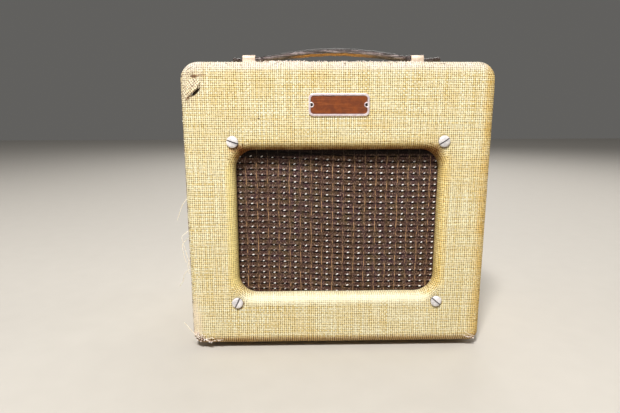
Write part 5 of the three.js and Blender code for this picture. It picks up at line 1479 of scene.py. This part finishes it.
jewel_material = f.shade(
    f.mix(clouds, (206, 26, 22), (150, 10, 16)), f.span(clouds, 0.3, 0.7, 0.06, 0.14),
    f.bump(clouds, 0.05 * mm, 0.3), Transmission_Weight=0.55, IOR=1.5, Coat_Weight=0.4)
cut = ([(0, -2.7), (5.55, -2.7), (5.55, 1.9), (4.7, 3.6), (3.1, 4.9), (1.4, 5.5), (0, 5.5)], 12, 0)
fix(on_face("pilot_jewel_cut", [-34], [cut], [jewel_material], 4), "jewel", "pilot_jewel")
rubber_material = coated("grommet_rubber", (34, 33, 33), (24, 23, 23), (84, 80, 74), 120, rough=(0.7, 0.85))
lip = [(3.6, 1), (4.2, 2.3), (5.4, 2.5), (7.8, 2.2), (9, 1.3), (8.9, 0.35), (6, 0.3)]
grommet = (lip + [(6, -1.9)] + [(r, -a - 1.5) for r, a in lip[-2::-1]], 48, 0)
fix(on_face("cord_grommet_ring", [-84], [grommet], [rubber_material], 40), "rubber", "cord_grommet")

# Pointer knob: a round skirt under a tall tapering bar whose nose points at the dial
knob_out, knob_turn, bar_steps, line_half = 5.6 * mm, math.radians(150), 15, 0.35
half_section = [(1, 0), (1, 0.55), (0.93, 0.83), (0.7, 0.95), (0.3, 1)]
section = [(-s, h) for s, h in half_section] + half_section[::-1]
spin = Matrix.Rotation(knob_turn, 3, "Y")
hub = Vector((knob_x, face_y + knob_out, control_z))
bar_rings, line_rings = [], []
for step in range(bar_steps):
    run = step / (bar_steps - 1)
    along = -8.4 + 22.3 * run
    ends = math.sqrt(max(1 - abs(2 * run - 1) ** 6, 0.02))
    half_width, high = (4.3 - 3.1 * run) * ends, 15 - 7.5 * max(0, run - 0.25) ** 1.1 - 1.6 * (1 - ends)
    bar = [Vector((half_width * s * (1 - 0.22 * h), 3 + (high - 3) * h, along)) for s, h in section]
    bar_rings.append([hub + spin @ p * mm for p in bar])
    if 5 <= step < bar_steps - 1:
        edges = ((-line_half, -0.3), (-line_half, 0.12), (line_half, 0.12), (line_half, -0.3))
        line_rings.append([hub + spin @ Vector((s, high + h, along)) * mm for s, h in edges])
bar_points, bar_faces = ringed(bar_rings)
line_points, line_faces = ringed(line_rings)
line_start = len(bar_points)
bar_faces += [tuple(line_start + k for k in face) for face in line_faces]
ivory = coated("ivory_line", (236, 226, 200), (214, 200, 170), (150, 130, 100), 200, rough=(0.4, 0.6))
bar = outwards(lay("volume_knob_bar", bar_points + line_points, bar_faces, brown_bakelite, 35))
bar.data.materials.append(ivory)
for polygon in bar.data.polygons:
    polygon.material_index = int(min(polygon.vertices) >= line_start)
fix(bar, "knob", "volume_knob", body="volume_control")
skirt = ([(3.3, 0), (8.6, 0), (9, 0.5), (9, 2.2), (8.6, 3), (7.6, 3.7), (6.8, 4.2), (3.3, 4.2)], 64, 0)
skirt = on_face("volume_knob_skirt", [8], [skirt], [brown_bakelite], 35, (32, 8.9, 0.25), knob_out)
fix(skirt, "knob", body="volume_control")

# Transformers: stacks of varnished steel plates round a paper-wrapped winding, bolted at their
# four corners and hung under the chassis.
lamination_rule = r = Rule(
    "laminations", Wide=54 * mm, Tall=46 * mm, Plate=0.8 * mm, Loose=0.12 * mm, Finish=steel_material)
plate_cut = r.node("MeshCube", {"Size": r.vector(r.inputs["Wide"], r.inputs["Plate"], r.inputs["Tall"])})
slip = r.any((-1.0, 0.0, -1.0), (1.0, 0.0, 0.0), 21)
r.scatter(plate_cut, r.vector_math("SCALE", {0: slip, 3: r.inputs["Loose"]}))
varnished_iron = coated(
    "varnished_iron", (70, 66, 62), (46, 42, 40), (122, 78, 46), 70, rough=(0.4, 0.6), Metallic=0.6)
f = Finish("winding_paper")
place = f.place()
wraps = f.math("SINE", f.product(f.axes(place)[1], 2 * math.pi / (4 * mm)))
fibres = f.grain(place, (120, 700, 120), 4)
colour = f.two(fibres, 0.35, 0.65, (176, 134, 84), (140, 100, 60))
colour = f.stain(colour, (92, 62, 38), wraps, 0.85, 1.0, 0.5)
bump = f.bump(f.total(fibres, f.product(wraps, 0.4)), 0.15 * mm, 0.6)
paper_material = f.shade(colour, f.span(fibres, 0.3, 0.7, 0.45, 0.65), bump)
hang_gap, plate_pace, coil_share, bolt_inset = 0.3, 0.92, 0.32, 4
# Each ring of a winding: the end it is at, how far in it is and how far back, in mm
coil_end = [(1, 0, 2.6), (1, 0.3, 1.2), (1, 1.0, 0.4), (1, 3.0, 0)]
coil_rows = [(-1, inset, back) for _, inset, back in coil_end[::-1]] + coil_end
for name, centre_x, wide, deep, tall, proud, corner in (
    ("power_transformer", -81.1, 54, 46, 46, 9, 5), ("output_transformer", 89.1, 38, 34, 32, 7, 4),
):
    centre_z = chassis_under - hang_gap - tall / 2
    front_y, plate_count = tube_y - deep / 2 + 0.5, int((deep - 0.6) / plate_pace)
    layers = [Vector((centre_x, front_y + k * plate_pace, centre_z)) * mm for k in range(plate_count)]
    plate_wide, plate_tall = (wide - 0.3) * mm, (tall - 0.3) * mm
    stack = lamination_rule.make(
        f"{name}_plates", skeleton(layers), Wide=plate_wide, Tall=plate_tall, Finish=varnished_iron)
    fix(stack, "iron", name)
    half_wide, half_tall = wide * coil_share, tall * coil_share
    rings = []
    for end, inset, back in coil_rows:
        sizes = (half_wide - inset, inset, 2 * half_tall - inset, corner, corner)
        shape, _ = rounded_loop(*[size * mm for size in sizes])
        y = (tube_y + end * (deep / 2 + proud - back)) * mm
        rings.append([(centre_x * mm + px, y, (centre_z - half_tall) * mm + pz) for px, pz in shape])
    fix(outwards(lay(f"{name}_winding", *ringed(rings), paper_material, 40)), "fibre")
    bolt_x, bolt_z = wide / 2 - bolt_inset, tall / 2 - bolt_inset
    bolt_places = [
        Vector((centre_x + sx * bolt_x, tube_y + deep / 2, centre_z + sz * bolt_z)) * mm
        for sx in (-1, 1) for sz in (-1, 1)
    ]
    bolts = screws(
        f"{name}_bolts", bolt_places, (0, 1, 0), [10, 70, 35, -20], nickel_material,
        Head=2.8, Height=1.6, Crown=0.4, Shank=1.2, Length=deep + 1.5, Slot=0.7, Depth=0.7)
    fix(bolts, "nickel")

# Tubes: three glass bulbs on brown bases in their sockets. In each glass a grey anode stands
# between two mica discs on wire rods, and a silver getter flash coats the dome.
paint(black_bakelite, *named("socket_"))
f = Finish("tube_glass")
haze = f.noise(f.place(), 60, 4, 0.6)
glass_material = f.shade(
    f.mix(haze, (250, 252, 250), (226, 232, 228)), f.span(haze, 0.35, 0.7, 0.02, 0.1),
    f.bump(haze, 0.05 * mm, 0.2), Transmission_Weight=1.0, IOR=1.45)
anode_grey = coated(
    "anode_grey", (74, 74, 76), (52, 52, 55), (110, 108, 104), 120, rough=(0.5, 0.7), Metallic=0.5)
mica_pale = coated("mica_pale", (206, 200, 186), (184, 178, 166), (150, 140, 120), 200, rough=(0.3, 0.5))
getter_silver = coated(
    "getter_silver", (150, 148, 150), (86, 76, 72), (40, 34, 32), 90, rough=(0.12, 0.3), depth=0.02,
    Metallic=1.0)
glass_ends = {"rectifier": 50, "power": 55, "preamp": 42}
first_tube_x, tube_pace, base_foot = -29, 38, 214.6
bulb_radius, bulb_wall, dome, flash_thick = 14.5, 0.9, 10, 0.15
rod_x, rod_y, mica_radius = 9.6, 5.4, 12.4
quarters = [math.radians(45 + 90 * k) for k in range(4)]


def bowl(radius, end, high):
    """Profile of a domed end, from its rim to its tip."""
    arc = [math.radians(15 * k) for k in range(1, 6)]
    bend = [(radius * math.cos(a), -end + high * (1 - math.sin(a))) for a in arc]
    return [(radius, -end + high)] + bend + [(0, -end)]


for index, (name, long) in enumerate(glass_ends.items()):
    spot = Vector((first_tube_x + tube_pace * index, tube_y, base_foot)) * mm
    inner = bulb_radius - bulb_wall
    glass = bowl(bulb_radius, long, dome)[::-1] + [(bulb_radius, 0.4), (inner, 0.4)]
    glass += bowl(inner, long - bulb_wall, dome - bulb_wall)
    base = [
        (0, 1.2), (bulb_radius + 0.2, 1.2), (bulb_radius + 0.3, 0), (15.6, 0), (16, 0.6), (16, 9.8),
        (15.4, 10.2), (15.4, 11.2), (16, 11.6), (16, 12.6), (15.6, 13), (3.6, 13), (3.5, 21.4), (2.9, 22),
        (0, 22),
    ]
    low, high = -long + 14, -8
    ribs_up = [(8.2 - 0.5 * (k % 2), low + 5 + k * (high - low - 10) / 7) for k in range(8)]
    anode = [(0, low + 2), (7.6, low + 2), (8.2, low + 3)] + ribs_up
    anode += [(8.2, high - 3), (7.6, high - 2), (0, high - 2)]
    discs = [([(0, z), (mica_radius, z), (mica_radius, z + 0.7), (0, z + 0.7)], 24, 1) for z in (low, high)]
    foot = [(0, high + 0.8), (5.5, high + 0.8), (3.4, 0), (4.6, 1), (0, 1)]
    rod = [(0, low - 2), (0.5, low - 2), (0.5, high + 3), (0, high + 3)]
    rods = [spot + Vector((rod_x * math.cos(a), rod_y * math.sin(a), 0)) * mm for a in quarters]
    flash = bowl(inner - flash_thick, long - bulb_wall - flash_thick, dome - bulb_wall)
    flash = flash[::-1] + [(max(r - flash_thick, 0), a + flash_thick) for r, a in flash]
    for part, places, parts, materials, angle, slot, *replaced in (
        ("bulb", [spot], [(glass, 48, 0)], [glass_material], 45, "tube_glass", f"tube_{name}"),
        ("base", [spot], [(base, 56, 0)], [brown_bakelite], 35, "bakelite"),
        ("anode", [spot], [(anode, 12, 0), *discs, (foot, 16, 1)], [anode_grey, mica_pale], 25, "iron"),
        ("rods", rods, [(rod, 8, 0)], [clean_nickel], 40, "nickel"),
        ("getter", [spot], [(flash, 48, 0)], [getter_silver], 45, "nickel"),
    ):
        fix(turned(f"tube_{name}_{part}", places, (0, 0, 1), parts, materials, angle), slot, *replaced)

# Inside the chassis: a waxed fibre board with resistors and coupling capacitors on it, the
# filter capacitor beside it in a card tube, and cloth-covered wires to the controls.
fibre_board = coated("waxed_fibre", (120, 92, 58), (92, 68, 42), (60, 42, 28), 50, 500, (0.55, 0.75), 0.12)
paint(fibre_board, "circuit_board")
part_body = coated("resistor_body", (196, 158, 108), (166, 126, 82), (110, 80, 52), 200, rough=(0.45, 0.6))
part_band = coated("resistor_band", (150, 44, 34), (122, 34, 28), (60, 26, 22), 200, rough=(0.4, 0.6))
card_wax = coated("card_tube", (206, 170, 112), (178, 138, 84), (120, 88, 56), 60, 500, (0.5, 0.7), 0.12)
board_top, part_y, first_part_x, part_pace = 250.5, 16.4, -32, 9.5


def alike(half_profile):
    """A whole profile from the first half of one whose two ends are alike."""
    return half_profile + [(radius, -along) for radius, along in half_profile[::-1]]


resistor = [
    (alike([(0, -13), (0.4, -12.8), (0.4, -4.6), (1.7, -4.4), (1.9, -3.6), (1.7, -2.6)]), 16, 0),
    ([(1.6, -1.9), (1.8, -1.9), (1.8, -1.1), (1.6, -1.1)], 16, 1),
    ([(1.6, 0.3), (1.8, 0.3), (1.8, 1.1), (1.6, 1.1)], 16, 1),
]
coupling = [(alike([(0, -17), (0.4, -16.8), (0.4, -10.4), (3.3, -10.2), (3.9, -9.4)]), 20, 0)]
for name, columns, rise, profile, materials, slot in (
    ("board_resistors", (0, 1, 3, 4, 6, 8, 9), 2, resistor, [part_body, part_band], "bakelite"),
    ("board_capacitors", (2, 5, 7), 4, coupling, [card_wax], "fibre"),
):
    places = [Vector((first_part_x + part_pace * k, part_y, board_top + rise)) * mm for k in columns]
    fix(turned(name, places, (0, 1, 0), profile, materials), slot)
card = alike([(0, -21.5), (6.2, -21.5), (7.4, -22.6), (8.4, -22.9), (8.9, -22.4)])
leads = [([(0, low), (0.5, low), (0.5, high), (0, high)], 10, 1) for low, high in ((21.4, 26), (-26, -21.4))]
card_spot = Vector((-71.4, tube_y, 241.3)) * mm
card_parts = [(card, 40, 0), *leads]
filter_tube = turned("filter_capacitor_tube", [card_spot], (1, 0, 0), card_parts, [card_wax, clean_nickel])
fix(filter_tube, "fibre", "filter_capacitor")
cloth_wires = {
    "wire_brown": ((112, 70, 44), (74, 44, 30), [
        [(6.0, 29, 252), (6.4, 36, 256), (8, 46, 262), (8, 54, 263)],
        [(-22.5, 29, 252), (-24, 42, 257), (-31, 50, 257)],
        [(-45.6, 33.5, 241.3), (-42, 31, 247), (-38, 29, 251.6), (-33, 28, 251.8)],
    ]),
    "wire_yellow": ((214, 178, 82), (178, 138, 52), [
        [(44, 29, 252), (46, 34, 256), (48, 40, 262.6), (51, 44, 263)],
        [(53.5, 29, 252), (60, 36, 258), (72, 42, 262), (77, 44, 263)],
        [(25, 29, 252), (22, 38, 256), (16, 46, 262), (12, 52, 263)],
    ]),
}
for name, (light, dark, paths_mm) in cloth_wires.items():
    braid = coated(name + "_braid", light, dark, (60, 44, 30), 300, 1800, (0.75, 0.9), 0.15)
    threads(name, paths_mm, "fibre", braid, Radius=0.9 * mm, Pace=2 * mm, Kink=0.2 * mm)

# Speaker: a pressed steel basket screwed to the baffle, a ring magnet, a paper cone with pressed
# ribs and a felt dust cap, a rolled edge and a waved cloth spider.
speaker_back, speaker_z, bolt_circle = baffle_back / mm, 135.0, 73
speaker_spot = Vector((0, speaker_back, speaker_z)) * mm
basket_paint = coated(
    "basket_paint", (112, 112, 108), (88, 88, 86), (140, 98, 66), 60, 1400, (0.4, 0.6), 0.15)
paint(basket_paint, "speaker_frame")
bolt_places = [
    speaker_spot + Vector((bolt_circle * math.cos(a), 2.3, bolt_circle * math.sin(a))) * mm for a in quarters
]
speaker_screws = screws(
    "speaker_screws", bolt_places, (0, 1, 0), [5, 60, -30, 40], nickel_material,
    Head=3.4, Height=1.8, Crown=0.35, Shank=1.6, Length=9, Slot=0.8, Depth=0.7)
fix(speaker_screws, "nickel")
magnet_iron = coated(
    "magnet_iron", (74, 74, 76), (52, 52, 54), (120, 76, 48), 50, 900, (0.45, 0.65), 0.15, Metallic=0.4)
magnet = [
    (0, 37.9), (8.6, 37.9), (9, 38.3), (9, 55), (10.3, 55), (10.3, 38.3), (10.7, 37.9), (26, 37.9),
    (27, 38.8), (27, 44), (26.4, 44.4), (26.4, 45), (27, 45.4), (27, 61), (26.4, 61.4), (26.4, 62),
    (27, 62.4), (27, 66.8), (25.8, 68), (8, 68), (7, 67.4), (0, 67.4),
]
magnet_pot = turned("speaker_magnet_pot", [speaker_spot], (0, 1, 0), [(magnet, 72, 0)], [magnet_iron])
fix(magnet_pot, "iron", "speaker_magnet")
f = Finish("cone_felt")
place = f.place()
fibres = f.noise(place, 500, 5, 0.75)
clumps = f.noise(place, 90, 4, 0.6)
colour = f.two(fibres, 0.35, 0.68, (52, 48, 44), (92, 86, 78))
colour = f.stain(colour, (40, 36, 33), clumps, 0.4, 0.7, 0.5)
bump = f.bump(f.total(fibres, clumps), 0.25 * mm, 0.7)
cone_material = f.shade(colour, f.span(fibres, 0.3, 0.7, 0.85, 0.98), bump)
cone_neck, cone_rim, cap_radius, cap_high, paper_thick = 10.4, 58.0, 13.2, 4.4, 0.9
rib_height, rib_count, cone_steps = 0.35, 6, 48


def cone_profile():
    """The cone's front and back faces with its pressed ribs, the dust cap and the neck."""
    neck_y, rim_y = 28.85, 3.0
    front, back = [], []
    for step in range(cone_steps + 1):
        share = step / cone_steps
        radius = cap_radius + (cone_rim - cap_radius) * share
        y = neck_y - (neck_y - rim_y) * (radius - cone_neck) / (cone_rim - cone_neck)
        rib = rib_height * math.sin(2 * math.pi * rib_count * share) * (1 if 0.25 < share < 0.95 else 0)
        front.append((radius, y - paper_thick + rib))
        back.append((radius, y + rib))
    cap_y = front[0][1]
    arc = [math.radians(a) for a in range(15, 90, 15)]
    dome = [(cap_radius * math.sin(a), cap_y - cap_high * math.cos(a)) for a in arc]
    under = [(r, y + 0.8) for r, y in dome if r < 12.5]
    neck = [(11.4, neck_y + 0.9), (10.35, neck_y + 0.9), (10.35, cap_y + 1.2)]
    tip = (0, cap_y - cap_high)
    return [tip] + dome + front + back[::-1] + neck + under[::-1] + [(0, cap_y - cap_high + 0.8)]


cone = turned("speaker_cone_paper", [speaker_spot], (0, 1, 0), [(cone_profile(), 96, 0)], [cone_material], 50)
fix(cone, "cone_paper", "speaker_cone", body="cone")
f = Finish("coil_winding")
wire_pace = 0.6 * mm
turns = f.math("SINE", f.product(f.axes(f.place())[1], 2 * math.pi / wire_pace))
tint = f.noise(f.place(), 200, 3)
copper = f.shade(
    f.two(tint, 0.3, 0.7, (190, 104, 54), (150, 76, 40)), f.span(turns, -1, 1, 0.3, 0.45),
    f.bump(turns, 0.1 * mm, 0.6), Metallic=0.85)
paint(copper, "voice_coil")
f = Finish("spider_weave")
place = f.place()
woven = f.total(*[f.grain(place, scale, 2, 0.5) for scale in ((1500, 1, 300), (300, 1, 1500))])
blots = f.noise(place, 80, 4, 0.6)
colour = f.two(woven, 0.8, 1.2, (150, 112, 62), (206, 170, 108))
colour = f.stain(colour, (132, 96, 52), blots, 0.45, 0.7, 0.5)
spider_material = f.shade(colour, f.span(blots, 0.3, 0.7, 0.7, 0.9), f.bump(woven, 0.2 * mm, 0.7))


def soft_ring(name, inner, outer, profile, sectors, material, replaced):
    """A ring between cabinet and cone, in equal sectors."""
    across, round_steps, thick, join = 24, 12, 0.7, 0.05
    for sector in range(sectors):
        start, wide = 2 * math.pi * sector / sectors, 2 * math.pi / sectors
        ring_points = []
        for depth in (0, thick):
            for angle in (start + wide * j / round_steps for j in range(round_steps + 1)):
                for share in (i / across for i in range(across + 1)):
                    radius, y = inner + (outer - inner) * share, profile(share) + depth
                    spoke = Vector((radius * math.cos(angle), y, radius * math.sin(angle)))
                    ring_points.append(speaker_spot + spoke * mm)
        ring_faces = slab_faces(across, round_steps)
        piece = outwards(lay(f"{name}_{sector + 1}", ring_points, ring_faces, material, 60))
        if sector == 0:
            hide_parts(replaced)
        spoke = Vector((math.cos(start + wide / 2), 0, math.sin(start + wide / 2))) * mm
        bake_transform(piece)


soft_ring(
    "surround", 58.3, 68.2, lambda s: 2.6 - 1.6 * math.sin(math.pi * s), 8,
    cone_material, "speaker_surround")
soft_ring(
    "spider", 10.3, 32.7, lambda s: 30.0 + 1.1 * math.sin(6 * math.pi * s) * math.sin(math.pi * s), 4,
    spider_material, "speaker_spider")

low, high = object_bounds()
{"cad": cad_box, "visual": [list(low), list(high)]}
